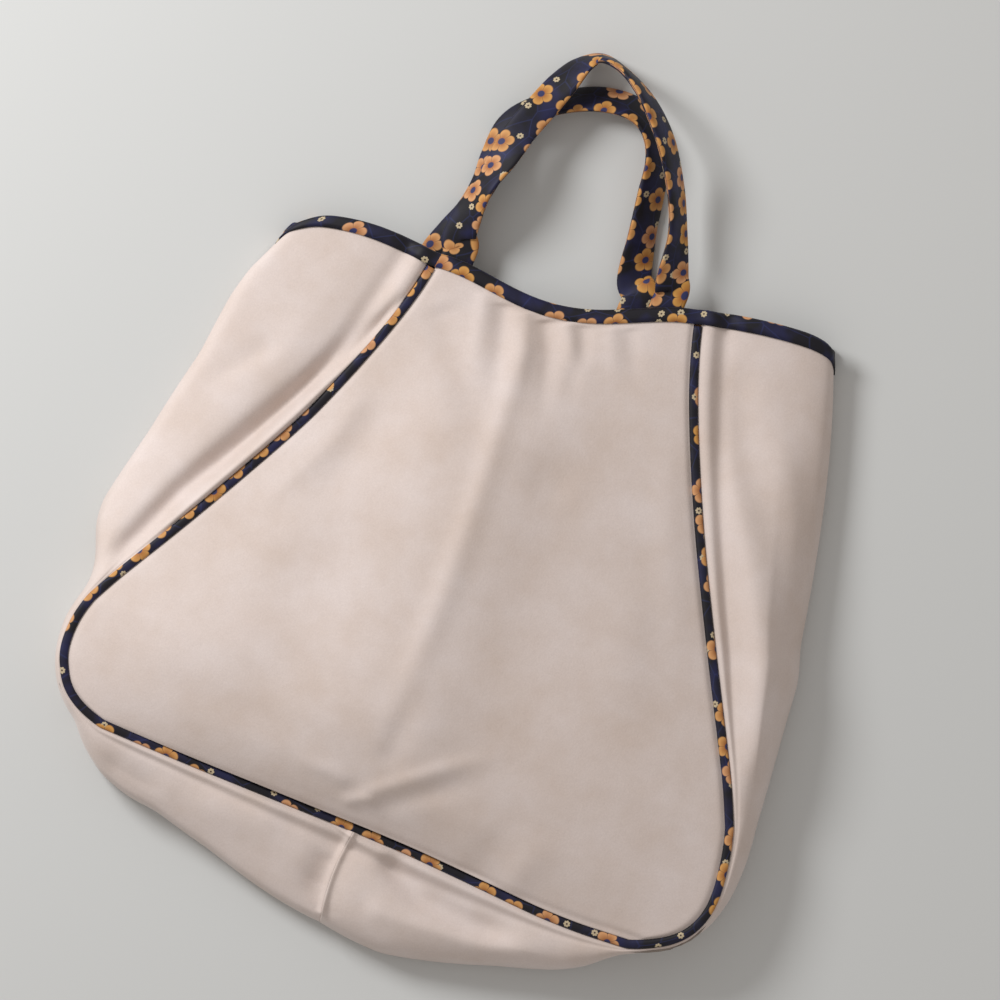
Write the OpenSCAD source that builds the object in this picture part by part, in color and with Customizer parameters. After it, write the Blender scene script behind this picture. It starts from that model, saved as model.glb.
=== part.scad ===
// Soft cloth bag with a trapeze outline, lying on its back panel with the mouth
// towards +Y, as it falls when it is laid down empty. Sizes are in millimetres.
// Front and back panel are joined by two gussets that run down each side and meet
// under the base. A bound rim, piped seams and two strap handles finish it.

/* [Panels] */
// Width of each panel at the rim, seam to seam
panel_top_w = 174; // [140:1:210]
// Distance between the two base corner rounds, seam to seam
panel_base_w = 432; // [380:1:500]
// Height of each panel from the base seam to its cut edge in the rim
panel_h = 378; // [320:1:430]
// Inward pull of each side seam at its hollow
side_hollow = 21; // [0:1:30]
// Height at which the side seam starts to turn round the base corner
corner_h = 82; // [50:1:100]
// Length that the corner round takes from the base seam
corner_w = 32; // [22:1:50]

/* [Gussets] */
// Width of a gusset at the mouth, unfolded
gusset_mouth_w = 192; // [140:1:230]
// Width of the gussets under the base, unfolded
gusset_base_w = 134; // [90:1:170]
// Height of the folded edge
fold_h = 16; // [13:0.5:22]
// Depth of the crease beside the front piping
crease = 5; // [0:0.5:8]

/* [How it lies] */
// Height of the front rim over the surface
mouth_z = 24; // [22:1:34]
// Height of the front seam at the base corners
corner_z = 40; // [34:1:50]
// Height of the front seam at the middle of the base
base_z = 33; // [30:1:42]
// Rise of the front panel over its side seams at the belly
belly = 26; // [10:1:36]
// Rise of the long soft fold down the front panel
ridge_h = 8; // [0:1:10]
// Sag of the rim between the handles
mouth_dip = 16; // [0:1:26]
// Sideways slip of the back rim against the front rim
back_slip = 18; // [0:1:24]
// Sideways lean for each millimetre of height
lean = 0.045; // [0:0.005:0.08]
// Spread of the height for each millimetre to the right
fan = 0.00046; // [0:0.00002:0.0006]

/* [Cloth] */
// Thickness of the outer cloth
shell_t = 2.4; // [1.6:0.1:3]
// Thickness of the lining
lining_t = 0.8; // [0.4:0.1:1.2]
// Space between neighbouring pieces
ease = 0.3; // [0.2:0.05:0.5]

/* [Piping and binding] */
// Width of the flat piping over the seams
piping_w = 7.5; // [5:0.5:9]
// Thickness of the piping
piping_t = 3.6; // [2.6:0.2:4.4]
// Depth to which the binding takes in the cloth
binding_lap = 7; // [5:0.5:10]
// Thickness of the binding cloth
binding_t = 0.8; // [0.6:0.1:1.2]

/* [Handles] */
// Width of a strap
strap_w = 22; // [16:1:28]
// Thickness of a strap
strap_t = 4.6; // [3.6:0.2:5.6]
// Thickness of the cloth sleeve of a strap
sleeve_t = 0.9; // [0.6:0.1:1.2]
// Distance between the two ends of a handle
handle_span = 134; // [110:1:150]
// Reach of the front handle past the rim
front_reach = 154; // [130:1:190]
// Reach of the back handle past the rim
back_reach = 132; // [110:1:160]
// Length of strap sewn inside the mouth
tail = 28; // [20:1:40]
// Height of the hinge line over the cut edge
hinge_h = 3.5; // [3:0.5:6]

/* [Hidden] */

cloth_colour = "#d0c0b6";
print_colour = "#2a2c55";
ochre_colour = "#b98a4e";
lining_colour = "#8d8076";
core_colour = "#e6e2d8";

// Stations along a seam, from the mouth down the side, round the corner and in
// to the middle of the base
SIDE = 14;
CORNER = 7;
BASE = 9;
LAST = SIDE + CORNER + BASE;
ROWS = SIDE + CORNER;
ALL_STATIONS = [0:LAST];
RIM_STEPS = 12;
COLUMNS = 14;
LINING_STATIONS = [each [0:2:SIDE - 2], each [SIDE:ROWS], each [ROWS + 3:3:LAST]];

// Half width that the piping and its clearance take on each side of a seam
seam_gap = piping_w / 2 + ease;
lining_in = shell_t + ease;
stack_t = lining_in + lining_t;
stack_mid = stack_t / 2;
binding_half = stack_mid + ease + binding_t;
// Lift of the back cloth at the rim, so that the binding rests on the surface
rim_lift = binding_half - stack_mid + ease / 2;
rim_ramp = 40;
// The back rim lies lower than the front rim and sags more
back_drop = 5;
back_dip = mouth_dip + 4;
// Height on the panel about which the bag leans and spreads
lie_centre = 157;

function mix(a, b, t) = a + (b - a) * t;
function clamp(t) = min(1, max(0, t));
function unit(v) = v / norm(v);
function bend(a, b, c, t) = (1 - t) * (1 - t) * a + 2 * t * (1 - t) * b + t * t * c;
function flat(grid) = [for (row = grid) each row];
function mirrored(p, side) = [side * p.x, p.y, p.z];

// Three bends in a row: side, corner and base
function along(i, side, corner, base) =
    i <= SIDE ? bend(side[0], side[1], side[2], i / SIDE)
    : i <= ROWS ? bend(corner[0], corner[1], corner[2], (i - SIDE) / CORNER)
    : bend(base[0], base[1], base[2], (i - ROWS) / BASE);

// The piped seam of the right half, whose height is that of the front seam. Each
// bend has two ends and a pull between them
hollow_at = 0.28;
corner_pull = [30, 14, 0];
foot_share = 0.7;
seam_top = [panel_top_w / 2, panel_h, mouth_z];
seam_low = [panel_base_w / 2, corner_h, corner_z];
seam_hollow = mix(seam_top, seam_low, hollow_at) - [side_hollow, 0, 0];
seam_corner = [seam_low.x, 0, corner_z] + corner_pull;
seam_foot = [seam_low.x - corner_w, 0, mix(base_z, corner_z, foot_share)];
seam_mid = [0, 0, base_z];
seam_flat = [seam_foot.x / 2, 0, base_z];

function seam(i) = along(i,
    [seam_top, seam_hollow, seam_low],
    [seam_low, seam_corner, seam_foot],
    [seam_foot, seam_flat, seam_mid]);

// The outer edge of the bag as it lies, where the gusset folds on itself
mouth_pull = [5, 13];
bulge_at = 0.34;
side_bulge = 18;
fold_reach = [20, 8];
corner_bulge = 16;
foot_bulge = [-6, -23];
base_hold = 70;
fold_top = [seam_top.x + gusset_mouth_w / 2 - mouth_pull.x, panel_h - mouth_pull.y];
fold_low = [seam_low.x, seam_low.y] + fold_reach;
fold_side = mix(fold_top, fold_low, bulge_at) + [side_bulge, 0];
fold_corner = [fold_low.x + corner_bulge, 0];
fold_foot = [seam_foot.x, 0] + foot_bulge;
fold_mid = [0, -gusset_base_w / 2];
fold_flat = [base_hold, fold_mid.y];

function fold_edge(i) = along(i,
    [fold_top, fold_side, fold_low],
    [fold_low, fold_corner, fold_foot],
    [fold_foot, fold_flat, fold_mid]);

// Share of the width, of the height over the fold and of the crease at each point of
// the upper half. Where the gusset is narrow it is a plain round fold instead
UPPER = [
    [0, 1, 0], [0.08, 0.99, -0.2], [0.17, 0.88, 1], [0.28, 0.84, 0.4], [0.45, 0.72, 0],
    [0.63, 0.5, 0], [0.8, 0.26, 0], [0.93, 0.06, 0],
];
// Share of the way in from the fold and of the fold's height, round the edge and under
LOWER = [[0.015, 0.8], [0, 0.5], [0.015, 0.2], [0.06, 0], [0.35, 0], [0.7, 0], [1, 0]];
SECTION = len(UPPER) + len(LOWER) - 1;
narrow = 25;
wide_enough = 60;

function back_seam(i, side) =
    let (p = seam(i), share = p.y / panel_h)
    [p.x - side * back_slip * share, p.y - back_drop * share, 0];

function flat_of(p) = [p.x, p.y, 0];
function rise_at(y) =
    rim_lift * clamp(1 - (panel_h - binding_lap - y) / (rim_ramp - binding_lap));

// Point k of the gusset's outer face at station i, for the right or mirrored left side
function gusset_outer(i, k, side) =
    let (
        top = seam(i),
        edge = flat_of(fold_edge(i)),
        clear = flat_of(inset_seam(i, -seam_gap) - top),
        start = flat_of(top) + clear,
        foot = back_seam(i, side) + clear,
        gap = [ease / 2 * i / LAST, 0, 0],
        wide = norm(edge - start)
    )
    k < len(UPPER)
    ? let (
            share = UPPER[k][0],
            plain = clamp((wide_enough - wide) / (wide_enough - narrow)),
            height = mix(UPPER[k][1], sqrt(1 - share * share), plain)
        )
        mix(start, edge, share) + gap
            + [0, 0, mix(fold_h, top.z + shell_t / 2, height)
                - crease * UPPER[k][2] * wide / (gusset_mouth_w / 2)]
    : let (low = LOWER[k - len(UPPER)])
        mix(edge, foot, low[0]) + gap + [0, 0, mix(rise_at(top.y), fold_h, low[1])];

function gusset_point(i, k, side, depth) =
    let (
        across = gusset_outer(i, min(k + 1, SECTION), side) - gusset_outer(i, max(k - 1, 0), side),
        down = gusset_outer(min(i + 0.5, LAST), k, side) - gusset_outer(max(i - 0.5, 0), k, side)
    )
    gusset_outer(i, k, side)
        + depth * (k == 0 ? [0, 0, -1] : k == SECTION ? [0, 0, 1] : unit(cross(across, down)));

// The seam moved in by a distance, where a panel ends
function inset_seam(i, d) =
    let (near = 0.1, run = seam(i + near) - seam(i - near))
    seam(i) + d * unit([run.y, -run.x, 0]);

// Share of the belly's rise at the middle of the front panel, by share of its height
CROWN = [[0, -0.16], [0.04, 0.2], [0.12, 0.77], [0.28, 1], [0.6, 0.62], [1, 0]];
function crown(y) = lookup(y / panel_h, CROWN) * belly;
// Power with which the belly falls off to the sides, and rows over which the rim's sag fades
belly_power = 2.5;
sag_rows = 8;

// Folds of the front panel: place across as a share of half the base width, share of
// the rise, and reach to the left and to the right as shares of half the base width
FOLDS = [[-0.065, 1, 0.3, 0.16], [0.2, -0.4, 0.12, 0.16], [-0.42, -0.3, 0.14, 0.14]];
// Shares of the height between which the folds fade in and out
fold_run = [0.03, 0.2, 0.72, 0.95];

function fold_share(y) =
    let (h = y / panel_h)
    clamp((h - fold_run[0]) / (fold_run[1] - fold_run[0]))
        * clamp((fold_run[3] - h) / (fold_run[3] - fold_run[2]));
function soft_folds(x, y) =
    let (across = x / (panel_base_w / 2), parts = [for (f = FOLDS)
        f[1] * exp(-pow((across - f[0]) / (across < f[0] ? f[2] : f[3]), 2))])
    ridge_h * fold_share(y) * (parts * [for (p = parts) 1]);

// Point of the front panel's outer face at row i and share u of the half width
function front_outer(i, u) =
    let (s = inset_seam(i, seam_gap), fade = pow(max(0, 1 - i / sag_rows), 2))
    [
        u * s.x,
        s.y - mouth_dip * fade * pow(1 - u * u, 2),
        s.z + shell_t / 2
            + (crown(s.y) + soft_folds(u * s.x, s.y)) * (1 - pow(abs(u), belly_power))
    ];

function front_point(i, u, depth) =
    let (
        du = 0.02,
        di = 0.2,
        across = front_outer(i, min(u + du, 1)) - front_outer(i, max(u - du, -1)),
        down = front_outer(min(i + di, ROWS), u) - front_outer(max(i - di, 0), u)
    )
    front_outer(i, u) + depth * unit(cross(across, down));

function back_rim(u, d) =
    let (r = back_seam(0, 1), l = back_seam(0, -1))
    [
        mix(-l.x + d, r.x - d, (u + 1) / 2),
        r.y - back_dip * pow(1 - u * u, 2)
    ];

// Sideways lean and spread of the bag as it lies
function lie_down(p) =
    let (
        x = p.x + lean * (p.y - lie_centre),
        y = lie_centre + (p.y - lie_centre) * (1 + fan * x)
    )
    len(p) == 3 ? [x, y, p.z] : [x, y];

// Handle routes: across in half spans, reach in shares, roll of the strap in degrees
// and height of its underside
FRONT_ROUTE = [
    [-1.06, 0.103, 18, 15.5], [-1.045, 0.206, 50, 16], [-1.051, 0.288, 92, 17], [-1.028, 0.369, 138, 19],
    [-0.997, 0.477, 168, 21], [-0.934, 0.606, 180, 21.5], [-0.825, 0.725, 172, 21.5], [-0.715, 0.842, 150, 16],
    [-0.612, 0.931, 118, 7], [-0.448, 0.978, 95, 3], [-0.204, 0.941, 85, 9], [0.058, 0.857, 75, 18],
    [0.278, 0.754, 66, 22.5], [0.485, 0.633, 60, 22.5], [0.709, 0.458, 57, 15], [0.855, 0.297, 50, 13],
    [0.952, 0.123, 20, 14],
];
BACK_ROUTE = [
    [-1.028, 0.194, 4, 2], [-0.985, 0.318, 10, 0.1], [-0.922, 0.471, 15, 0.1], [-0.873, 0.627, 22, 0.1],
    [-0.801, 0.78, 30, 0.1], [-0.615, 0.877, 38, 0.1], [-0.34, 0.944, 42, 0.1], [-0.036, 0.981, 42, 0.1],
    [0.285, 0.966, 48, 0.1], [0.524, 0.889, 54, 0.1], [0.691, 0.749, 50, 0.1], [0.773, 0.552, 25, 0.1],
    [0.834, 0.343, 14, 0.1], [0.899, 0.145, 8, 1],
];
FRONT_MID = -3;
BACK_MID = -22;
SPLITS = 2;
// Share of the half rim at which a handle is sewn in, and straight strap past the rim
handle_at = 0.75;
handle_lead = 10;

function half_height(roll) = abs(sin(roll)) * strap_w / 2 + abs(cos(roll)) * strap_t / 2;

// Offset of a strap's middle from the middle of the cloth that it is sewn to
strap_out = binding_half + ease + strap_t / 2;

front_base = front_outer(0, handle_at);
front_slope = front_outer(1, handle_at) - front_base;
front_hinge = [
    front_base.y + hinge_h,
    front_base.z - stack_mid + front_slope.z / front_slope.y * hinge_h
];
back_hinge = [back_rim(handle_at, 0).y + hinge_h, rim_lift + stack_mid];

function base_point(mid, hinge, side, up) =
    [mid + side * handle_span / 2, hinge[0], hinge[1] + up * strap_out];

function handle_stops(mid, hinge, up, reach, route) =
    let (
        a = base_point(mid, hinge, -1, up),
        b = base_point(mid, hinge, 1, up),
        lead = [0, handle_lead, 0]
    )
    concat(
        [[a, 0], [a + lead, 0]],
        [for (r = route) [
            [mid + r[0] * handle_span / 2, hinge[0] + r[1] * reach, r[3] + half_height(r[2])],
            r[2]
        ]],
        [[b + lead, 0], [b, 0]]
    );

// Smooth curve through a list of stops
function through(p, i, t) =
    let (
        n = len(p) - 1,
        a = p[max(i - 1, 0)], b = p[i], c = p[i + 1], d = p[min(i + 2, n)]
    )
    b + (c - a) * t / 2 + (2 * a - 5 * b + 4 * c - d) * t * t / 2
        + (3 * b - a - 3 * c + d) * t * t * t / 2;

function smooth_line(p) = concat(
    [for (i = [0:len(p) - 2]) for (t = [0:1 / SPLITS:0.99]) through(p, i, t)],
    [p[len(p) - 1]]);

function strap_profile(w, t) = [
    [w / 2 - t / 2, -t / 2], [w / 2, 0], [w / 2 - t / 2, t / 2],
    [t / 2 - w / 2, t / 2], [-w / 2, 0], [t / 2 - w / 2, -t / 2],
];

function strap_ring(c, run, roll, w, t) =
    let (
        side0 = unit(cross(run, [0, 0, 1])),
        up0 = unit(cross(side0, run)),
        side = side0 * cos(roll) + up0 * sin(roll),
        up = up0 * cos(roll) - side0 * sin(roll)
    )
    [for (p = strap_profile(w, t)) c + side * p.x + up * p.y];

function strap_rings(stops, w, t) =
    let (
        places = smooth_line([for (s = stops) s[0]]),
        rolls = smooth_line([for (s = stops) s[1]]),
        n = len(places) - 1
    )
    [for (i = [0:n])
        let (run = i == 0 ? [0, 1, 0] : i == n ? [0, -1, 0] : places[i + 1] - places[i - 1])
        strap_ring(places[i], run, rolls[i], w, t)];

front_stops = handle_stops(FRONT_MID, front_hinge, -1, front_reach, FRONT_ROUTE);
back_stops = handle_stops(BACK_MID, back_hinge, 1, back_reach, BACK_ROUTE);

// Middle of the outline on the surface, which is the origin
front_rings = strap_rings(front_stops, strap_w, strap_t);
reach_points = [for (p = flat(front_rings)) lie_down(p)];
edge_points = [for (i = [0:LAST]) for (s = [-1, 1])
    lie_down(mirrored([fold_edge(i).x, fold_edge(i).y, 0], s))];
middle = [
    (min([for (p = edge_points) p.x]) + max([for (p = edge_points) p.x])) / 2,
    (min([for (p = edge_points) p.y]) + max([for (p = reach_points) p.y])) / 2,
    0
];

// Faces of a grid of points, two triangles to each cell
function grid_faces(rows, cols, from, flip) = [
    for (i = [0:rows - 2]) for (j = [0:cols - 2])
        let (a = from + i * cols + j, b = a + 1, c = a + cols, d = c + 1)
        each flip ? [[a, b, d], [a, d, c]] : [[a, d, b], [a, c, d]]
];

// A cloth sheet between two grids of points
module sheet(outer, inner, flip) {
    rows = len(outer);
    cols = len(outer[0]);
    n = rows * cols;
    rim = concat(
        [for (j = [0:cols - 1]) j],
        [for (i = [1:rows - 1]) i * cols + cols - 1],
        [for (j = [cols - 2:-1:0]) (rows - 1) * cols + j],
        [for (i = [rows - 2:-1:1]) i * cols]);
    m = len(rim);
    sides = [for (k = [0:m - 1])
        let (a = rim[k], b = rim[(k + 1) % m])
        each flip ? [[a, b + n, b], [a, a + n, b + n]] : [[a, b, b + n], [a, b + n, a + n]]];
    points = [for (p = concat(flat(outer), flat(inner))) lie_down(p) - middle];
    polyhedron(points, concat(
        grid_faces(rows, cols, 0, flip),
        grid_faces(rows, cols, n, !flip),
        sides));
}

function ring_faces(count, m, from, flip, closed) = [
    for (i = [0:count - (closed ? 1 : 2)]) for (k = [0:m - 1])
        let (
            a = from + i * m + k, b = from + i * m + (k + 1) % m,
            c = from + ((i + 1) % count) * m + k, d = from + ((i + 1) % count) * m + (k + 1) % m
        )
        each flip ? [[a, b, d], [a, d, c]] : [[a, d, b], [a, c, d]]
];

// A solid bar through rings of points
module bar(rings) {
    m = len(rings[0]);
    n = len(rings);
    polyhedron([for (p = flat(rings)) lie_down(p) - middle], concat(
        ring_faces(n, m, 0, true, false),
        [[for (k = [m - 1:-1:0]) k], [for (k = [0:m - 1]) (n - 1) * m + k]]));
}

// A hollow sleeve between outer and inner rings
module sleeve(outer, inner) {
    m = len(outer[0]);
    n = len(outer);
    from = n * m;
    last = (n - 1) * m;
    ends = [for (k = [0:m - 1])
        let (j = (k + 1) % m)
        each [
            [k, from + j, j], [k, from + k, from + j],
            [last + k, last + j, from + last + j], [last + k, from + last + j, from + last + k]
        ]];
    polyhedron([for (p = concat(flat(outer), flat(inner))) lie_down(p) - middle], concat(
        ring_faces(n, m, 0, true, false),
        ring_faces(n, m, from, false, false),
        ends));
}

// Front panel of outer cloth or lining, between two depths under its outer face
module front_sheet(outer_depth, inner_depth, rows, cols) {
    function face(depth) = [for (i = [0:rows]) [for (j = [0:cols])
        front_point(ROWS * i / rows, 2 * j / cols - 1, depth)]];
    sheet(face(outer_depth), face(inner_depth), true);
}

module gusset_sheet(side, outer_depth, inner_depth, stations) {
    function face(depth) = [for (i = stations) [for (k = [0:SECTION])
        mirrored(gusset_point(i, k, side, depth), side)]];
    sheet(face(outer_depth), face(inner_depth), side > 0);
}

// Outline of the back panel, seam to seam and along the sagging rim
function back_outline(d) =
    let (
        right = [for (i = [0:LAST]) let (p = back_seam(i, 1), q = inset_seam(i, d) - seam(i))
            [p.x + q.x, p.y + q.y]],
        left = [for (i = [LAST - 1:-1:0]) let (p = back_seam(i, -1), q = inset_seam(i, d) - seam(i))
            [-p.x - q.x, p.y + q.y]],
        rim = [for (j = [1:RIM_STEPS - 1]) back_rim(2 * j / RIM_STEPS - 1, d)]
    )
    [for (p = concat(right, left, rim)) lie_down(p) - [middle.x, middle.y]];

// Flat back sheet whose top rises a little to the rim. The side view runs past the
// outline at both ends
module back_sheet(low, thick) {
    past = 9;
    high = low + thick;
    top = lie_down([panel_base_w / 2, panel_h]).y - middle.y;
    foot = lie_down([panel_base_w / 2, 0]).y - middle.y;
    ramp = lie_down([0, panel_h - back_drop - back_dip - binding_lap - ease]).y - middle.y;
    side_view = [
        [foot - past, low], [ramp - rim_ramp, low], [ramp, low + rim_lift],
        [top + past, low + rim_lift], [top + past, high + rim_lift], [ramp, high + rim_lift],
        [ramp - rim_ramp, high], [foot - past, high]
    ];
    intersection() {
        linear_extrude(height = high + rim_lift + past) polygon(back_outline(seam_gap));
        rotate([90, 0, 90])
            linear_extrude(height = panel_base_w * 2, center = true) polygon(side_view);
    }
}

// Flat piping along a seam line, from the binding on one side round to the other
module piping(line) {
    n = len(line);
    w = piping_w / 2;
    t = piping_t / 2;
    profile = [[w, 0], [w / 2, t], [-w / 2, t], [-w, 0], [-w / 2, -t], [w / 2, -t]];
    rings = [for (i = [0:n - 1])
        let (
            run = line[min(i + 1, n - 1)] - line[max(i - 1, 0)],
            side = unit(cross(run, [0, 0, 1])),
            up = unit(cross(side, run))
        )
        [for (p = profile) line[i] + side * p.x + up * p.y]];
    bar(rings);
}

piping_start = (binding_lap + ease + piping_t / 4) / norm(seam(1) - seam(0));
piping_stations = [for (i = [0:LAST - 1]) max(i, piping_start)];

function seam_line(place) = concat(
    [for (i = piping_stations) place(i, -1)],
    [place(LAST, 1)],
    [for (k = [LAST - 1:-1:0]) place(piping_stations[k], 1)]);

function front_seam_place(i, side) = mirrored(seam(i), side);
function back_seam_place(i, side) =
    let (p = back_seam(i, side)) [side * p.x, p.y, piping_t / 2];

// Binding path round the mouth: pairs of a point at the cut edge and one under it
rim_pairs = concat(
    [for (j = [0:RIM_STEPS]) let (u = 2 * j / RIM_STEPS - 1)
        [front_point(0, u, stack_mid), front_point(1, u, stack_mid)]],
    [for (k = [0:SECTION])
        [gusset_point(0, k, 1, stack_mid), gusset_point(1, k, 1, stack_mid)]],
    [for (j = [RIM_STEPS:-1:0])
        let (p = back_rim(2 * j / RIM_STEPS - 1, seam_gap), z = rim_lift + stack_mid)
        [[p.x, p.y, z], [p.x, p.y - binding_lap, z]]],
    [for (k = [SECTION:-1:0])
        [mirrored(gusset_point(0, k, -1, stack_mid), -1),
            mirrored(gusset_point(1, k, -1, stack_mid), -1)]]);

binding_profile = let (
        b = binding_half, s = stack_mid + ease, d = -binding_lap, q = b * cos(45))
    [[-b, d], [-s, d], [-s, ease], [s, ease], [s, d], [b, d], [b, 0], [q, q], [0, b], [-q, q], [-b, 0]];

module front_panel() {
    color(cloth_colour) front_sheet(0, shell_t, ROWS, COLUMNS);
}

module back_panel() {
    color(cloth_colour) back_sheet(0, shell_t);
}

module left_gusset() {
    color(cloth_colour) gusset_sheet(-1, 0, shell_t, ALL_STATIONS);
}

module right_gusset() {
    color(cloth_colour) gusset_sheet(1, 0, shell_t, ALL_STATIONS);
}

module front_lining() {
    color(lining_colour) front_sheet(lining_in, stack_t, ROWS, COLUMNS);
}

module back_lining() {
    color(lining_colour) back_sheet(lining_in, lining_t);
}

module left_gusset_lining() {
    color(lining_colour) gusset_sheet(-1, lining_in, stack_t, LINING_STATIONS);
}

module right_gusset_lining() {
    color(lining_colour) gusset_sheet(1, lining_in, stack_t, LINING_STATIONS);
}

module front_piping() {
    color(print_colour) piping(seam_line(function(i, side) front_seam_place(i, side)));
}

module back_piping() {
    color(print_colour) piping(seam_line(function(i, side) back_seam_place(i, side)));
}

module rim_binding() {
    n = len(rim_pairs);
    edge = [for (p = rim_pairs) p[0]];
    under = [for (p = rim_pairs) p[1]];
    rings = [for (i = [0:n - 1])
        let (
            up = unit(edge[i] - under[i]),
            out = unit(cross(edge[(i + 1) % n] - edge[(i + n - 1) % n], up))
        )
        [for (p = binding_profile) edge[i] + out * p.x + up * p.y]];
    m = len(binding_profile);
    color(ochre_colour)
        polyhedron([for (p = flat(rings)) lie_down(p) - middle], ring_faces(n, m, 0, true, true));
}

// The two strap ends that are sewn inside the mouth, up to the hinge line
module handle_ends(mid, hinge, up, slope) {
    run = [0, 1, 0];
    length = tail + hinge_h;
    for (side = [-1, 1]) {
        top = base_point(mid, hinge, side, up) - ease * run;
        foot = top - length * run + [0, 0, -slope.z / slope.y * length];
        bar([for (c = [foot, top]) strap_ring(c, run, 0, strap_w, strap_t)]);
    }
}

module front_handle_ends() {
    color(print_colour) handle_ends(FRONT_MID, front_hinge, -1, front_slope);
}

module back_handle_ends() {
    color(print_colour) handle_ends(BACK_MID, back_hinge, 1, [0, -1, 0]);
}

module handle_sleeve(stops) {
    sleeve(
        strap_rings(stops, strap_w, strap_t),
        strap_rings(stops, strap_w - 2 * sleeve_t, strap_t - 2 * sleeve_t));
}

module handle_core(stops) {
    inside = 2 * (sleeve_t + ease);
    bar(strap_rings(stops, strap_w - inside, strap_t - inside));
}

module front_handle_sleeve() {
    color(print_colour) handle_sleeve(front_stops);
}

module front_handle_core() {
    color(core_colour) handle_core(front_stops);
}

module back_handle_sleeve() {
    color(print_colour) handle_sleeve(back_stops);
}

module back_handle_core() {
    color(core_colour) handle_core(back_stops);
}

front_panel();
back_panel();
left_gusset();
right_gusset();
front_lining();
back_lining();
left_gusset_lining();
right_gusset_lining();
front_piping();
back_piping();
rim_binding();
front_handle_ends();
back_handle_ends();
front_handle_sleeve();
front_handle_core();
back_handle_sleeve();
back_handle_core();
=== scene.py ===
# %% [markdown]
# A soft cloth bag with a trapeze outline lies on its back on a plain floor. The frame
# from the CAD model gives the places of all pieces and the bodies that they ride on.
# Everything is in metres, with +Y towards the mouth and +Z up from the floor.

# %% Load the frame
import math
import bpy
import numpy as np
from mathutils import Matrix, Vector


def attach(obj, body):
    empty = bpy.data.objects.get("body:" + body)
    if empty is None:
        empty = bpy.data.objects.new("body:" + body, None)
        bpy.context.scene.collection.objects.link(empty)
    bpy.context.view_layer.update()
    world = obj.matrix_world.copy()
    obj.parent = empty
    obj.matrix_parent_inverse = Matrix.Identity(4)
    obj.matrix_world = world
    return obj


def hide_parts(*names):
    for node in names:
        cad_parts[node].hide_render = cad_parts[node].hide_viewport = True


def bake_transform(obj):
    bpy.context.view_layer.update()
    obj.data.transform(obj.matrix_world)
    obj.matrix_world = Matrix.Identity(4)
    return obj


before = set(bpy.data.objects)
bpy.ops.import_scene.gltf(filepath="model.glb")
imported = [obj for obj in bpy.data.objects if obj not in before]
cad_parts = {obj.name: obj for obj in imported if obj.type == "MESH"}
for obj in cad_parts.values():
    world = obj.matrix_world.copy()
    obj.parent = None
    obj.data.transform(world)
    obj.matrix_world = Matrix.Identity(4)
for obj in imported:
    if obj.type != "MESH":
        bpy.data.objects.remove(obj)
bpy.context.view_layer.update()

# %% [markdown]
# The photograph looks straight down on the bag, which leans 18 degrees in the picture.
# A camera far above with a long lens gives that flat view, in which a pixel is the same
# length everywhere on the floor. So places in the picture can be turned into places on
# the bag, which is how the folds are drawn further on.

# %% Camera
MM = 0.001
PIXEL_MM, PICTURE_PIXELS = 0.65, 1000
SENSOR = 36
CAMERA_HEIGHT = 12.0
TURN = math.radians(18)
LOOK_AT = (14.0 * MM, 2.14 * MM)

camera_data = bpy.data.cameras.new("camera")
camera_data.sensor_width = SENSOR
camera_data.lens = SENSOR * CAMERA_HEIGHT / (PICTURE_PIXELS * PIXEL_MM * MM)
camera_data.clip_end = 40
camera = bpy.data.objects.new("camera", camera_data)
camera.location = (LOOK_AT[0], LOOK_AT[1], CAMERA_HEIGHT)
camera.rotation_euler = (0, 0, TURN)
bpy.context.scene.collection.objects.link(camera)
bpy.context.scene.camera = camera
print("lens", round(camera_data.lens), "mm")


def picture_place(px, py):
    """Place on the floor, in mm, that shows at a pixel of the picture."""
    middle = PICTURE_PIXELS / 2
    dx, dy = (px - middle) * PIXEL_MM, (middle - py) * PIXEL_MM
    x = dx * math.cos(TURN) - dy * math.sin(TURN) + LOOK_AT[0] / MM
    y = dx * math.sin(TURN) + dy * math.cos(TURN) + LOOK_AT[1] / MM
    return x, y


# %% [markdown]
# Colours are written as sRGB hex values, as a picture shows them, and one function
# turns them to the linear numbers that Blender's shaders work in. One small function
# adds a shader node with its settings and links. A node given as an input is linked
# from its first socket, which keeps chains of small steps short.

# %% Helpers for materials


def rgb(hex_colour):
    """Linear RGBA of an sRGB hex colour."""
    parts = [int(hex_colour[i:i + 2], 16) / 255 for i in (1, 3, 5)]
    return [c / 12.92 if c <= 0.04045 else ((c + 0.055) / 1.055) ** 2.4 for c in parts] + [1]


def node(tree, kind, inputs=None, **settings):
    """Adds a shader node, sets its fields, and gives each input a value, a socket or a node."""
    made = tree.nodes.new(kind)
    for key, value in settings.items():
        setattr(made, key, value)
    for key, value in (inputs or {}).items():
        if isinstance(value, bpy.types.Node):
            value = value.outputs[0]
        if isinstance(value, bpy.types.NodeSocket):
            tree.links.new(value, made.inputs[key])
        else:
            made.inputs[key].default_value = value
    return made


def new_material(name):
    """A node material of its own, with its node tree and its Principled shader."""
    material = bpy.data.materials.new(name)
    material.use_nodes = True
    tree = material.node_tree
    return material, tree, tree.nodes["Principled BSDF"]


print("middle grey in linear light", [round(c, 3) for c in rgb("#808080")])


# %% [markdown]
# The floor is a plain pale sheet of matte paper. One large round lamp stands in for a
# window on the left of the picture, low enough that each fold gets a light side and a
# shaded side. The even light of the world stands in for the rest of a bright room.

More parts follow.
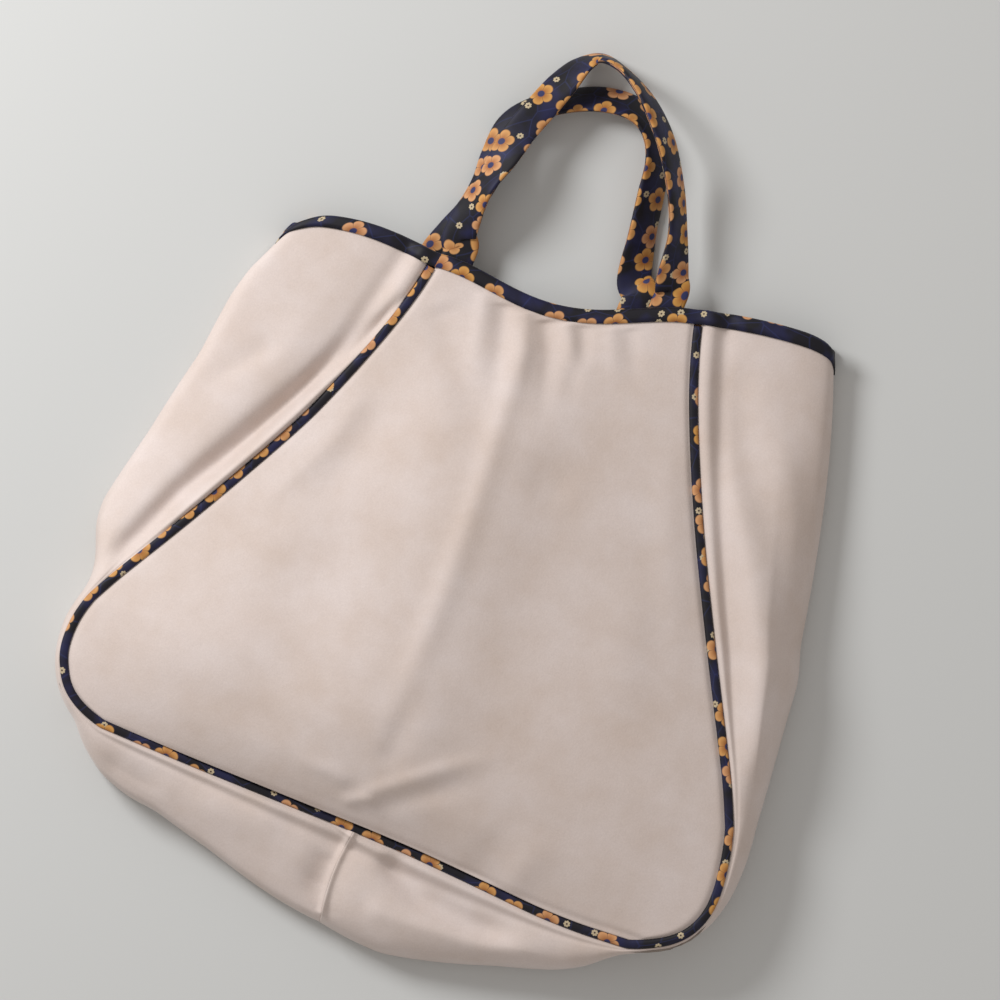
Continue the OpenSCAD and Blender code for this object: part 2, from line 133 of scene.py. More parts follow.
# %% Floor and light
FLOOR_SIZE = 6
LAMP_WAY = Vector((0.85, -0.36, -0.68)).normalized()
LAMP_AWAY, LAMP_SIZE, LAMP_LEVEL = 2.0, 0.72, 2.62
LAMP_COLOUR = (0.98, 0.985, 1.0)
ROOM_COLOUR, ROOM_LEVEL = (1.0, 0.958, 0.932, 1), 0.51

floor_material, tree, shader = new_material("matte_paper_floor")
shader.inputs["Base Color"].default_value = rgb("#c9cac8")
shader.inputs["Roughness"].default_value = 0.9
bpy.ops.object.select_all(action="DESELECT")
bpy.ops.mesh.primitive_plane_add(size=FLOOR_SIZE)
floor = bpy.context.object
floor.name = "floor"
floor.data.materials.append(floor_material)

lamp_data = bpy.data.lights.new("window_light", "AREA")
lamp_data.shape = "DISK"
lamp_data.size = LAMP_SIZE
lamp_data.energy = LAMP_LEVEL * math.pi * LAMP_AWAY ** 2
lamp_data.color = LAMP_COLOUR
lamp = bpy.data.objects.new("window_light", lamp_data)
lamp.location = -LAMP_WAY * LAMP_AWAY
lamp.rotation_euler = LAMP_WAY.to_track_quat("-Z", "Y").to_euler()
bpy.context.scene.collection.objects.link(lamp)

world = bpy.data.worlds.new("soft_room")
bpy.context.scene.world = world
world.use_nodes = True
background = world.node_tree.nodes["Background"]
background.inputs["Color"].default_value = ROOM_COLOUR
background.inputs["Strength"].default_value = ROOM_LEVEL
bpy.context.scene.view_settings.view_transform = "Standard"
print("window light", round(lamp_data.energy, 1), "W, room", ROOM_LEVEL)

# %% [markdown]
# The outline of the bag is drawn once, as it would be if the bag lay straight: x from
# its middle, y up from the base seam and z up from the floor, in millimetres. The
# piped seam and the folded edge of the gusset are each three bends in a row: the side,
# the base corner and half of the base. A last step leans and spreads the whole shape
# as the bag fell, and moves it to the frame's origin.

# %% Sizes of the bag, in mm
# A panel: width at the rim and at the base, height, base corners and hollow sides
PANEL_TOP_W, PANEL_BASE_W, PANEL_H = 174, 432, 378
CORNER_H, CORNER_W, SIDE_HOLLOW = 82, 32, 21
# A gusset: width at the mouth and under the base, height of its fold, depth of its crease
GUSSET_MOUTH_W, GUSSET_BASE_W, FOLD_H, CREASE = 192, 134, 16, 5
# Heights of the front seam at mouth, corners and base, rise of the panel, sag of the rim
MOUTH_Z, CORNER_Z, BASE_Z, BELLY, MOUTH_DIP = 24, 40, 33, 26, 16
# How the back lies under the front, and how the whole bag leans and spreads
BACK_SLIP, BACK_DROP, LEAN, FAN, LIE_CENTRE = 18, 5, 0.045, 0.00046, 157
# Cloth, lining, trim and straps
SHELL_T, LINING_T, EASE = 2.4, 0.8, 0.3
PIPING_W, PIPING_T, BINDING_LAP, BINDING_T = 5.6, 3.6, 7, 0.8
STRAP_W, STRAP_T, HANDLE_SPAN = 22, 4.6, 134
FRONT_REACH, BACK_REACH, TAIL, HINGE_H = 154, 132, 28, 3.5
# Stations along the three bends, and the last station of the panel and of the seam
SIDE, CORNER, BASE = 14, 7, 9
ROWS, LAST = SIDE + CORNER, SIDE + CORNER + BASE
# What follows from them: half the piping, less a hair so that cloth and piping meet, and
# the stack of cloth and lining in the binding
SEAM_GAP = PIPING_W / 2 - 0.05
STACK_MID = (SHELL_T + EASE + LINING_T) / 2
BINDING_HALF = STACK_MID + EASE + BINDING_T
RIM_LIFT, RIM_RAMP = BINDING_HALF - STACK_MID + EASE / 2, 40
# Middle of the whole shape before it moves to the frame's origin
MIDDLE = np.array([-4.1275, 230.61, 0])
print("cloth and lining", 2 * STACK_MID, "mm thick, binding", round(2 * BINDING_HALF, 1), "mm")

# %% Points and mixes


def vec(*numbers):
    """A point or a direction from its numbers."""
    return np.array(numbers, float)


def mix(a, b, t):
    """What lies between a and b at a share t of the way."""
    return a + (b - a) * t


def unit(v):
    """A direction of length one."""
    return v / np.linalg.norm(v)


print("half way from 2 to 4:", mix(2, 4, 0.5))

# %% Rounded tables


def eased(table, spread):
    """A function through a table of (place, value) pairs, with its bends rounded."""
    fine = np.linspace(table[0][0], table[-1][0], 401)
    values = np.interp(fine, *zip(*table))
    reach = 3 * spread
    step = fine[1] - fine[0]
    near = np.arange(-int(reach / step), int(reach / step) + 1) * step
    weight = np.exp(-(near / spread) ** 2)
    padded = np.pad(values, len(near) // 2, "edge")
    rounded = np.convolve(padded, weight / weight.sum(), "valid")
    return lambda place: np.interp(place, fine, rounded)


# %% Bends


def bend(a, b, c, t):
    """A curve from a to c that b pulls to its side."""
    return (1 - t) ** 2 * a + 2 * t * (1 - t) * b + t * t * c


def along(i, side, corner, base):
    """The three bends in a row, by station: side, corner and base."""
    if i <= SIDE:
        return bend(*side, i / SIDE)
    if i <= ROWS:
        return bend(*corner, (i - SIDE) / CORNER)
    return bend(*base, (i - ROWS) / BASE)


# %% [markdown]
# Two curves give the bag its outline: the piped seam between panel and gusset, and the
# edge where the gusset folds back under the bag. Both are drawn for the right half. The
# middle point of each bend pulls the curve in at the hollow side and out at the corner.

# %% Seam and folded edge of the right half
seam_top = vec(PANEL_TOP_W / 2, PANEL_H, MOUTH_Z)
seam_low = vec(PANEL_BASE_W / 2, CORNER_H, CORNER_Z)
seam_hollow = mix(seam_top, seam_low, 0.28) - vec(SIDE_HOLLOW, 0, 0)
seam_corner = vec(seam_low[0] + 30, 14, CORNER_Z)
seam_foot = vec(seam_low[0] - CORNER_W, 0, mix(BASE_Z, CORNER_Z, 0.7))
seam_mid = vec(0, 0, BASE_Z)
seam_flat = vec(seam_foot[0] / 2, 0, BASE_Z)
fold_top = vec(seam_top[0] + GUSSET_MOUTH_W / 2 - 5, PANEL_H - 13)
fold_low = seam_low[:2] + vec(20, 8)
fold_side = mix(fold_top, fold_low, 0.34) + vec(18, 0)
fold_corner = vec(fold_low[0] + 16, 0)
fold_foot = vec(seam_foot[0] - 6, -23)
fold_mid = vec(0, -GUSSET_BASE_W / 2)
fold_flat = vec(70, fold_mid[1])


def plain_seam(i):
    """A point of the plain seam, by station from the mouth to the middle of the base."""
    return along(i, (seam_top, seam_hollow, seam_low), (seam_low, seam_corner, seam_foot),
                 (seam_foot, seam_flat, seam_mid))


def plain_edge(i):
    """A point of the plain folded edge, by station."""
    return along(i, (fold_top, fold_side, fold_low), (fold_low, fold_corner, fold_foot),
                 (fold_foot, fold_flat, fold_mid))


print("plain seam from", plain_seam(0).round(1), "to", plain_seam(LAST).round(1))

# %% [markdown]
# Real cloth doesn't lie in even curves. Each side of the bag drifts a few millimetres in
# or out of them, by station, and a table for the left (-1) and right (1) side says how
# far. The back seam lies under the bag, and is drawn in only where the folded edge is.

# %% How the cloth drifts from the plain curves
SEAM_DRIFT = {
    -1: eased([(0, 1), (2, -0.6), (7.5, -1.6), (10, 1.5), (13.4, 4.8), (14.5, 2.5), (15.7, -1),
               (17.5, -4.4), (20, -2), (24, -0.5), (30, -0.5)], 0.5),
    1: eased([(0, -1), (3.5, -0.5), (8, 1.5), (11, 4), (13.3, 6.2), (15.4, 1.5), (20, 1),
              (22.6, 4.8), (24, 5), (26, 2.6), (28.4, 0), (30, -0.5)], 0.5),
}
EDGE_DRIFT = {
    -1: eased([(0, 8), (2, 12), (3.2, 11), (5.7, 4.6), (9, 4.3), (11.5, 7.2), (12.2, 4), (13.2, -8),
               (13.8, -11), (15, -8), (19.6, -7.5), (20.3, -1), (21.3, 7), (22.2, 6), (23, 0.7),
               (25, -2.3), (30, -1.2)], 0.28),
    1: eased([(0, 1.2), (9.5, 2), (10.4, 5.4), (11.5, 3.4), (14, 1), (16, -0.6), (17.2, -2.6), (18.3, -7),
              (19.6, -10.4), (20.7, -10.6), (21.5, -3), (22.3, -0.6), (24, -1), (26, 2.2), (27.6, 4.6),
              (29, 1.4), (30, -1.2)], 0.28),
}
BACK_DRIFT = {
    -1: eased([(0, 0), (11.5, 0), (14, -6.5), (19.5, -5.5), (21.5, 0), (30, 0)], 0.8),
    1: eased([(0, 0), (17, 0), (19.8, -4), (21, -3), (23, 0), (30, 0)], 0.8),
}
print("right seam at the base corner drifts", round(float(SEAM_DRIFT[1](SIDE)), 1), "mm")

# %% Seams and edges as the cloth lies


def outward(curve, i):
    """Way out of the bag, square to a curve, in the plane of the floor."""
    run = curve(i + 0.1) - curve(i - 0.1)
    return unit(vec(-run[1], run[0], 0))


def seam(i, side):
    """The right half of the seam, or the left half mirrored, as the cloth lies."""
    return plain_seam(i) + outward(plain_seam, i) * SEAM_DRIFT[side](i)


def fold_edge(i, side):
    """The right half of the folded edge, or the left half mirrored, as the cloth lies."""
    return vec(*plain_edge(i), 0) + outward(plain_edge, i) * EDGE_DRIFT[side](i)


def inset_seam(i, side, d):
    """The seam moved in by a distance, where a panel ends."""
    return seam(i, side) - d * outward(plain_seam, i)


def back_seam(i, side):
    """The seam of the back panel, which lies lower and has slipped to one side."""
    p = plain_seam(i) + outward(plain_seam, i) * BACK_DRIFT[side](i)
    share = p[1] / PANEL_H
    return vec(p[0] - side * BACK_SLIP * share, p[1] - BACK_DROP * share, 0)


# %% The way that the bag fell


def lie_down(p):
    """Lean and spread as the bag fell, then from mm at the seam to metres in the frame."""
    p = np.asarray(p, float)
    x = p[..., 0] + LEAN * (p[..., 1] - LIE_CENTRE)
    y = LIE_CENTRE + (p[..., 1] - LIE_CENTRE) * (1 + FAN * x)
    return (np.stack([x, y, p[..., 2]], -1) - MIDDLE) * MM


print("seam at the mouth", lie_down(seam(0, 1)).round(3))
print("seam at the base", lie_down(seam(LAST, 1)).round(3))

# %% [markdown]
# A cloth panel is a grid of points with an even mesh. It is built in code, because each
# point follows the formulas above. Its UV map holds millimetres along and across the
# cloth, so that a weave or print has its real scale. A Solidify modifier gives the
# cloth its thickness and is applied at once.

# %% Grid of cloth


def grid_mesh(name, points, uv, closed_across=False, flip=False):
    """Mesh object through a grid of points in metres, with a UV map in millimetres."""
    rows, cols = points.shape[:2]
    index = np.arange(rows * cols).reshape(rows, cols)
    right = np.roll(index, -1, 1) if closed_across else index[:, 1:]
    left = index if closed_across else index[:, :-1]
    quads = np.stack([left[:-1], right[:-1], right[1:], left[1:]], -1).reshape(-1, 4)
    uv_right = np.roll(uv, -1, 1) if closed_across else uv[:, 1:]
    uv_left = uv if closed_across else uv[:, :-1]
    if closed_across:
        uv_right = uv_right.copy()
        uv_right[:, -1, 1] = uv[:, -1, 1] + (uv[:, -1, 1] - uv[:, -2, 1])
    corner_uv = np.stack([uv_left[:-1], uv_right[:-1], uv_right[1:], uv_left[1:]], -2)
    corner_uv = corner_uv.reshape(-1, 4, 2)
    if flip:
        quads, corner_uv = quads[:, ::-1], corner_uv[:, ::-1]
    mesh = bpy.data.meshes.new(name)
    mesh.from_pydata(points.reshape(-1, 3).tolist(), [], quads.tolist())
    layer = mesh.uv_layers.new(name="cloth_mm")
    layer.data.foreach_set("uv", corner_uv.reshape(-1).astype(np.float32))
    mesh.shade_smooth()
    piece = bpy.data.objects.new(name, mesh)
    bpy.context.scene.collection.objects.link(piece)
    return piece


# %% Thickness


def apply_modifier(piece, kind, **settings):
    """Adds a modifier and applies it at once."""
    bpy.ops.object.select_all(action="DESELECT")
    bpy.context.view_layer.objects.active = piece
    piece.select_set(True)
    modifier = piece.modifiers.new(kind.lower(), kind)
    for key, value in settings.items():
        setattr(modifier, key, value)
    bpy.ops.object.modifier_apply(modifier=modifier.name)
    return piece


# %% Millimetres on the cloth


def cloth_uv(points):
    """Millimetres along the rows and across the columns of a grid of points in metres."""
    down = np.linalg.norm(np.diff(points, axis=0), axis=2).mean(1)
    across = np.linalg.norm(np.diff(points, axis=1), axis=2).mean(0)
    v = np.concatenate([[0], np.cumsum(down)]) / MM
    u = np.concatenate([[0], np.cumsum(across)]) / MM
    return np.stack(np.broadcast_arrays(u[None, :], v[:, None]), -1).astype(float)


# %% [markdown]
# Folds are what make a panel read as cloth. Each fold is drawn as a line over the
# picture of the bag, with a height and a width, and lifts or sinks the points of the
# panel near that line. It fades out at both ends, as a real fold runs out.

# %% Distance from a line


def line_distance(points, line):
    """Distance in mm of many points to a line, less than 0 on its left, and share along it."""
    line = np.asarray(line, float)
    lengths = np.linalg.norm(np.diff(line, axis=0), axis=1)
    start = np.concatenate([[0], np.cumsum(lengths)])
    best = np.full(len(points), 1e9)
    share = np.zeros(len(points))
    for k, size in enumerate(lengths):
        step = (line[k + 1] - line[k]) / size
        rel = points - line[k]
        t = rel @ step
        inside = np.clip(t, 0, size)
        gap = rel - inside[:, None] * step
        away = np.linalg.norm(gap, axis=1) * np.sign(rel[:, 0] * step[1] - rel[:, 1] * step[0])
        better = np.abs(away) < np.abs(best)
        best[better] = away[better]
        ends = t / size if k == len(lengths) - 1 else np.minimum(t / size, 1)
        share[better] = ((start[k] + np.clip(ends, -1, 2) * size) / start[-1])[better]
    return best, share


# %% Height of a fold


def fold_height(places, fold):
    """Height in mm that one fold adds at many places on the floor, in mm."""
    line, rise, left, right, fade = fold
    line = [picture_place(*p) for p in line]
    away, share = line_distance(places, line)
    width = np.where(away < 0, left, right)
    shape = np.exp(-(away / width) ** 2)
    ends = np.clip(share / fade[0], 0, 1) * np.clip((1 - share) / fade[1], 0, 1)
    return rise * shape * ends * ends * (3 - 2 * ends)


# %% Folds on a grid of cloth


def add_folds(points, folds, hold):
    """Lifts a grid of points by all folds, less where hold is small, as near a seam."""
    flat_points = points.reshape(-1, 3) / MM
    total = sum(fold_height(flat_points[:, :2], fold) for fold in folds)
    lifted = points.copy()
    lifted[..., 2] += total.reshape(points.shape[:2]) * hold * MM
    return lifted


# %% [markdown]
# The front panel is the broad face of the bag: thick brushed cloth that rises from its
# piped seams to a soft belly and sags at the mouth between the handles. It is a grid
# that follows the seams, with the long diagonal crease, the pucker over the base seam
# and the small gathers under the binding drawn as folds.

# %% Rise of the front panel
# The panel's rise over its side seams, as a share of BELLY, by share of its height
CROWN = eased([(-0.1, -0.4), (0, -0.12), (0.03, 0.28), (0.08, 0.66), (0.16, 0.91), (0.28, 1),
               (0.6, 0.62), (1, 0)], 0.02)
# Place across, share of the rise, and reach to the left and right, in half base widths
LONG_FOLDS = [(-0.055, 1, 0.3, 0.26), (0.24, -0.2, 0.14, 0.2), (-0.42, -0.3, 0.14, 0.14)]
RIDGE_H = 7
# Shares of the height at which they start and end, and over which they fade there
FOLD_START, START_FADE, FOLD_END, END_FADE = 0.03, 0.17, 0.95, 0.23


def limited(value):
    """A value kept between 0 and 1."""
    return min(1, max(0, value))


def soft_folds(x, y):
    """The long folds that run down the panel from the mouth, which the CAD panel has too."""
    high, across = y / PANEL_H, x / (PANEL_BASE_W / 2)
    share = limited((high - FOLD_START) / START_FADE) * limited((FOLD_END - high) / END_FADE)
    rises = [rise * math.exp(-((across - at) / (left if across < at else right)) ** 2)
             for at, rise, left, right in LONG_FOLDS]
    return RIDGE_H * share * sum(rises)


# %% Edges of the front panel
# How far the cloth's edge rolls down into a piped seam, and how wide the roll is, in mm
EDGE_ROLL, ROLL_W = 1.4, 2.4
# Stations from the rim over which it sags, and height over the base where its bow ends
SAG_STATIONS, BOW_REACH = 8, 60
# How squarely the panel stands up beside its seam, left (-1) and right (1)
PUFF = {-1: 2.5, 1: 1.45}


def rolled(away):
    """How far the cloth's surface drops at a distance from a piped seam."""
    return EDGE_ROLL * np.exp(-(away / ROLL_W) ** 2)


def base_bow(drift, x, u):
    """How far the base seam bows out at a place across, past a straight line."""
    station = LAST - BASE * min(1, abs(x) / seam_foot[0])
    straight = mix(drift[-1](ROWS), drift[1](ROWS), (u + 1) / 2)
    return drift[1 if u > 0 else -1](station) - straight


# %% Outer face of the front panel


def front_outer(i, u):
    """Outer face of the front panel at a station and a place across, from -1 to 1."""
    left, right = inset_seam(i, -1, SEAM_GAP), inset_seam(i, 1, SEAM_GAP)
    s = mix(left * vec(-1, 1, 1), right, (u + 1) / 2)
    crown = CROWN(s[1] / PANEL_H) * BELLY
    fade = max(0, 1 - i / SAG_STATIONS) ** 2
    low = max(0, 1 - s[1] / BOW_REACH) ** 2
    y = s[1] - MOUTH_DIP * fade * (1 - u * u) ** 2 - base_bow(SEAM_DRIFT, s[0], u) * low
    half = (left[0] + right[0]) / 2
    roll = rolled(min(half * (1 - abs(u)), max(0, s[1] - SEAM_GAP)))
    puff = 1 - abs(u) ** PUFF[1 if u > 0 else -1]
    return vec(s[0], y, s[2] + SHELL_T / 2 - roll + (crown + soft_folds(s[0], s[1])) * puff)


# %% Grid of the front panel
FRONT_ROWS, FRONT_COLUMNS = 180, 160
# Places of the columns across, closer together near the seams
across = np.linspace(-1, 1, FRONT_COLUMNS + 1)
across = np.sign(across) * (1 - (1 - np.abs(across)) ** 1.5)
front_grid = np.array([[front_outer(ROWS * i / FRONT_ROWS, u) for u in across]
                       for i in range(FRONT_ROWS + 1)])
front_flat = lie_down(front_grid)
print("front panel rises to", round(front_grid[..., 2].max(), 1), "mm")

# %% [markdown]
# These folds follow the picture from top to bottom: the crease from the handles to the
# base, the pucker over the base seam, the gathers under the binding and the slack at
# the sides. Each has its line in the picture, its rise in mm, its width in mm to the
# left and to the right as one goes along the line, and the shares over which it fades
# in and out.

# %% Folds of the front panel
FRONT_FOLDS = [
    ([(527, 320), (508, 400), (480, 490), (445, 590), (408, 680), (376, 756)], 2.6, 9, 8, (0.1, 0.35)),
    ([(560, 420), (530, 520), (490, 620), (450, 700)], -0.6, 30, 24, (0.3, 0.4)),
    ([(356, 797), (400, 782), (455, 765), (516, 750)], 2.4, 5, 7, (0.12, 0.6)),
    ([(372, 806), (430, 792), (500, 776)], -1.5, 9, 7, (0.15, 0.6)),
    ([(352, 786), (330, 770), (290, 755)], 1.6, 5, 6, (0.2, 0.7)),
    ([(340, 803), (362, 797), (378, 803)], 2.4, 4, 4, (0.3, 0.3)),
    ([(384, 770), (400, 730), (424, 680)], -1.8, 7, 9, (0.2, 0.6)),
    ([(486, 292), (478, 340), (470, 400)], 1.5, 7, 6, (0.04, 0.8)),
    ([(505, 303), (500, 350), (488, 420)], -2.2, 6, 7, (0.04, 0.8)),
    ([(525, 310), (524, 350), (514, 420)], 2.4, 6, 8, (0.04, 0.7)),
    ([(546, 319), (548, 360), (538, 440)], -2.6, 8, 6, (0.04, 0.8)),
    ([(566, 322), (572, 352), (590, 396)], 2.0, 6, 6, (0.04, 0.8)),
    ([(584, 325), (582, 352), (562, 420)], -1.6, 6, 6, (0.04, 0.8)),
    ([(610, 327), (613, 352), (618, 392)], 1.2, 6, 6, (0.04, 0.8)),
    ([(630, 329), (632, 352), (638, 400)], -1.0, 6, 6, (0.04, 0.8)),
    ([(440, 300), (452, 350), (474, 410), (470, 470)], -2.0, 12, 12, (0.1, 0.5)),
    ([(470, 330), (440, 400), (400, 520)], 1.4, 20, 26, (0.3, 0.5)),
    ([(374, 372), (330, 440), (244, 520)], 1.9, 8, 13, (0.25, 0.4)),
    ([(398, 392), (354, 455), (300, 522)], -1.5, 13, 10, (0.3, 0.4)),
    ([(520, 490), (548, 480), (575, 500)], -1.0, 14, 14, (0.4, 0.4)),
    ([(672, 420), (672, 560), (684, 700)], 1.4, 16, 12, (0.3, 0.4)),
    ([(640, 560), (624, 640), (620, 740)], 1.2, 16, 20, (0.4, 0.4)),
    ([(500, 905), (520, 870), (560, 830)], 1.6, 9, 11, (0.1, 0.7)),
    ([(470, 884), (490, 850), (530, 800)], -1.2, 10, 12, (0.1, 0.7)),
    ([(180, 580), (260, 560), (360, 480)], 1.2, 22, 24, (0.4, 0.4)),
    ([(110, 640), (200, 650), (330, 640)], 1.4, 26, 26, (0.3, 0.4)),
]
# The folds die out at the seams, and within these shares of the height at rim and base
RIM_HOLD, BASE_HOLD, SIDE_HOLD = 0.012, 0.02, 12
down = np.linspace(0, 1, FRONT_ROWS + 1)
hold_down = np.clip(np.minimum(down / RIM_HOLD, down[::-1] / BASE_HOLD), 0, 1)
hold_across = 1 - np.abs(across) ** SIDE_HOLD
front_flat = add_folds(front_flat, FRONT_FOLDS, hold_down[:, None] * hold_across[None, :])
front_panel = grid_mesh("front_panel_cloth", front_flat, cloth_uv(front_flat), flip=True)
apply_modifier(front_panel, "SOLIDIFY", thickness=SHELL_T * MM, offset=-1)
print("front panel", len(front_panel.data.polygons), "faces")

# %% [markdown]
# Each gusset is the side wall, which folds on itself as the bag lies flat: from the
# front seam it drops into a valley, runs out to the folded edge and comes back under
# the bag to the back seam. The two meet under the base in a short raised seam.

# %% Section of a gusset
# Share of the way out to the fold, share of the height there, and depth of the crease
UPPER = [(0, 1, 0), (0.08, 0.99, -0.2), (0.17, 0.9, 0.6), (0.28, 0.86, 0.2), (0.45, 0.78, 0),
         (0.63, 0.63, 0), (0.8, 0.43, 0), (0.93, 0.18, 0)]
# Share of the way in from the fold and of the fold's height, round the edge and under
LOWER = [(0.015, 0.8), (0, 0.5), (0.015, 0.2), (0.06, 0), (0.35, 0), (0.7, 0), (1, 0)]
SECTION = len(UPPER) + len(LOWER) - 1


# The arch of the mouth's edge over each gusset: its height, the share of the way out where
# it is highest, and the stations over which it fades
MOUTH_ARCH, ARCH_STATIONS = {-1: (17.6, 0.75), 1: (9.5, 0.84)}, 6
# How much fuller the gusset lies than its plain section, as a share of its height
FULLNESS, FULL_FAR = {-1: 0.0, 1: 0.3}, 2.2
# Widths between which a folded gusset gets the plain round section of a narrow one
WIDE_ENOUGH, NARROW = 60, 25
# Half the hair's breadth that keeps the two gussets apart at the middle of the base
MIDDLE_GAP = 0.02


# %% Edge of a gusset at the mouth


def rise_at(y):
    """Lift of the back cloth near the rim, because the binding is thicker than it."""
    return RIM_LIFT * limited(1 - (PANEL_H - BINDING_LAP - y) / (RIM_RAMP - BINDING_LAP))


def arch(i, side, share):
    """How far the edge at the mouth arches up at a share of the way out to the fold."""
    rise, peak = MOUTH_ARCH[side]
    if share < peak:
        shape = math.sin(math.pi / 2 * share / peak)
    else:
        shape = math.sqrt(max(0, 1 - ((share - peak) / (1 - peak)) ** 2))
    return vec(0, rise * shape * max(0, 1 - i / ARCH_STATIONS) ** 2, 0)


# %% Points round the section of a gusset


def gusset_points(i, side):
    """The section of the gusset at a station, at each point of the tables."""
    top, edge = seam(i, side), fold_edge(i, side)
    clear = outward(plain_seam, i) * SEAM_GAP
    start, foot = top * vec(1, 1, 0) + clear, back_seam(i, side) + clear
    gap = vec(MIDDLE_GAP * i / LAST, 0, 0)
    wide = np.linalg.norm(edge - start)
    plain = limited((WIDE_ENOUGH - wide) / (WIDE_ENOUGH - NARROW))
    points = []
    for share, high, deep in UPPER:
        full = high + FULLNESS[side] * math.sin(math.pi * share ** FULL_FAR)
        high = mix(full, math.sqrt(1 - share * share), plain)
        z = mix(FOLD_H, top[2] + SHELL_T / 2, high) - CREASE * deep * wide / (GUSSET_MOUTH_W / 2)
        points.append(mix(start, edge, share) + gap + arch(i, side, share) + vec(0, 0, z))
    for share, high in LOWER:
        low = vec(0, 0, mix(rise_at(top[1]), FOLD_H, high))
        points.append(mix(edge, foot, share) + gap + arch(i, side, 1 - share) + low)
    return np.array(points)


# %% Smooth line through points


def curve_through(points, splits):
    """A smooth line through many points, with a number of steps between each two."""
    p = np.concatenate([points[:1], points, points[-1:]])
    made = []
    for k in range(1, len(p) - 2):
        a, b, c, d = p[k - 1], p[k], p[k + 1], p[k + 2]
        for t in np.linspace(0, 1, splits, endpoint=False):
            made.append(b + (c - a) * t / 2 + (2 * a - 5 * b + 4 * c - d) * t * t / 2
                        + (3 * b - a - 3 * c + d) * t ** 3 / 2)
    made.append(points[-1])
    return np.array(made)


# %% [markdown]
# The left gusset sinks in a long valley beside its piping and the right one stands up in
# a ridge. Under the base the cloth is drawn towards the raised seam. These folds are
# lines in the picture too, in the same order of values as those of the front panel.

# %% Folds of the gussets
GUSSET_FOLDS = [
    ([(410, 290), (384, 320), (340, 361), (286, 404), (235, 447), (183, 490), (138, 536), (101, 572)],
     -8.0, 5.5, 8, (0.12, 0.1)),
    ([(402, 312), (358, 360), (306, 406), (254, 452), (204, 494), (156, 534)], 3.0, 5, 5.5, (0.2, 0.2)),
    ([(330, 310), (262, 372), (205, 425), (155, 478)], 1.2, 16, 14, (0.2, 0.3)),
    ([(290, 338), (240, 362), (187, 391)], -1.8, 6, 10, (0.3, 0.4)),
    ([(722, 430), (738, 500), (753, 580), (762, 660), (760, 740), (748, 810)], 7.5, 16, 12, (0.25, 0.2)),
    ([(775, 400), (792, 520), (790, 640), (772, 760)], 3.0, 10, 22, (0.3, 0.2)),
    ([(735, 350), (742, 420), (752, 500), (764, 560)], -2.4, 12, 10, (0.2, 0.4)),
    ([(790, 420), (800, 520), (798, 620)], 1.6, 12, 14, (0.3, 0.4)),
    ([(382, 850), (398, 874), (420, 896), (466, 921), (525, 941)], -6.0, 9, 8, (0.12, 0.25)),
    ([(350, 834), (337, 852), (326, 884), (320, 918)], -3.6, 12, 16, (0.05, 0.1)),
    ([(360, 905), (410, 925), (480, 945), (560, 955)], 2.4, 9, 8, (0.1, 0.2)),
    ([(300, 822), (240, 812), (180, 790)], 2.2, 14, 12, (0.3, 0.4)),
    ([(330, 850), (316, 880), (306, 905)], -2.0, 7, 9, (0.2, 0.3)),
    ([(96, 755), (130, 775), (170, 795)], -2.2, 10, 10, (0.3, 0.4)),
]
print("gusset folds", len(GUSSET_FOLDS))

# %% Grid of a gusset
SECTION_SPLITS = 6
# Stations of the rows, closer together beside the raised seam under the base
SEAM_NEAR = LAST - 0.8
GUSSET_ROWS = np.concatenate([np.linspace(0, SEAM_NEAR, 196), np.linspace(SEAM_NEAR, LAST, 18)[1:]])
# The raised seam: its height and width, how far it lies to the left, its bow and how far
# from it the cloth is drawn along
SEAM_RIDGE, SEAM_RIDGE_W, SEAM_SWAY, SEAM_BOW, SWAY_REACH = 3.0, 2.6, 6.5, 3.5, 60


def gusset_grid(side, depth=0.0, rows=GUSSET_ROWS, splits=SECTION_SPLITS):
    """Grid of one gusset before it lies down, in mm, at a depth under its outer face."""
    grid = np.array([curve_through(gusset_points(i, side), splits) for i in rows])
    if depth:
        across, down = np.gradient(grid, axis=1), np.gradient(grid, axis=0)
        normal = np.cross(across, down)
        grid = grid + depth * normal / np.linalg.norm(normal, axis=2, keepdims=True)
    return grid * vec(side, 1, 1)


def seam_swayed(grid):
    """The base seam lies a little to the left and bows, so the cloth beside it is drawn along."""
    down = np.clip(-grid[..., 1] / -fold_mid[1], 0, 1)
    sway = SEAM_SWAY + SEAM_BOW * np.sin(math.pi * down)
    grid[..., 0] -= sway * np.exp(-(grid[..., 0] / SWAY_REACH) ** 2)
    return grid


# %% Gussets


def gusset_panel(name, side):
    """Outer cloth of one gusset, with its share of the raised seam under the base."""
    flat_grid = gusset_grid(side)
    away = np.abs(flat_grid[..., 0])
    top_side = np.linspace(1, 0, flat_grid.shape[1])[None, :] > 0.5
    ridge = SEAM_RIDGE * np.exp(-(away / SEAM_RIDGE_W) ** 2)
    steps = np.diff(flat_grid, axis=1, prepend=flat_grid[:, :1])
    from_seam = np.cumsum(np.linalg.norm(steps, axis=2), axis=1)
    flat_grid[..., 2] += top_side * (ridge - rolled(from_seam))
    grid = lie_down(seam_swayed(flat_grid))
    upper = np.linspace(0, 1, grid.shape[1]) * SECTION
    hold = np.clip((len(UPPER) - 1 - upper) / 2, 0, 1) * np.clip(upper / 0.5, 0, 1)
    grid = add_folds(grid, GUSSET_FOLDS, hold[None, :])
    piece = grid_mesh(name, grid, cloth_uv(grid), flip=side > 0)
    return apply_modifier(piece, "SOLIDIFY", thickness=SHELL_T * MM, offset=-1), grid


left_gusset, left_grid = gusset_panel("left_gusset_cloth", -1)
right_gusset, right_grid = gusset_panel("right_gusset_cloth", 1)
print("gussets", len(left_gusset.data.polygons), "faces each")

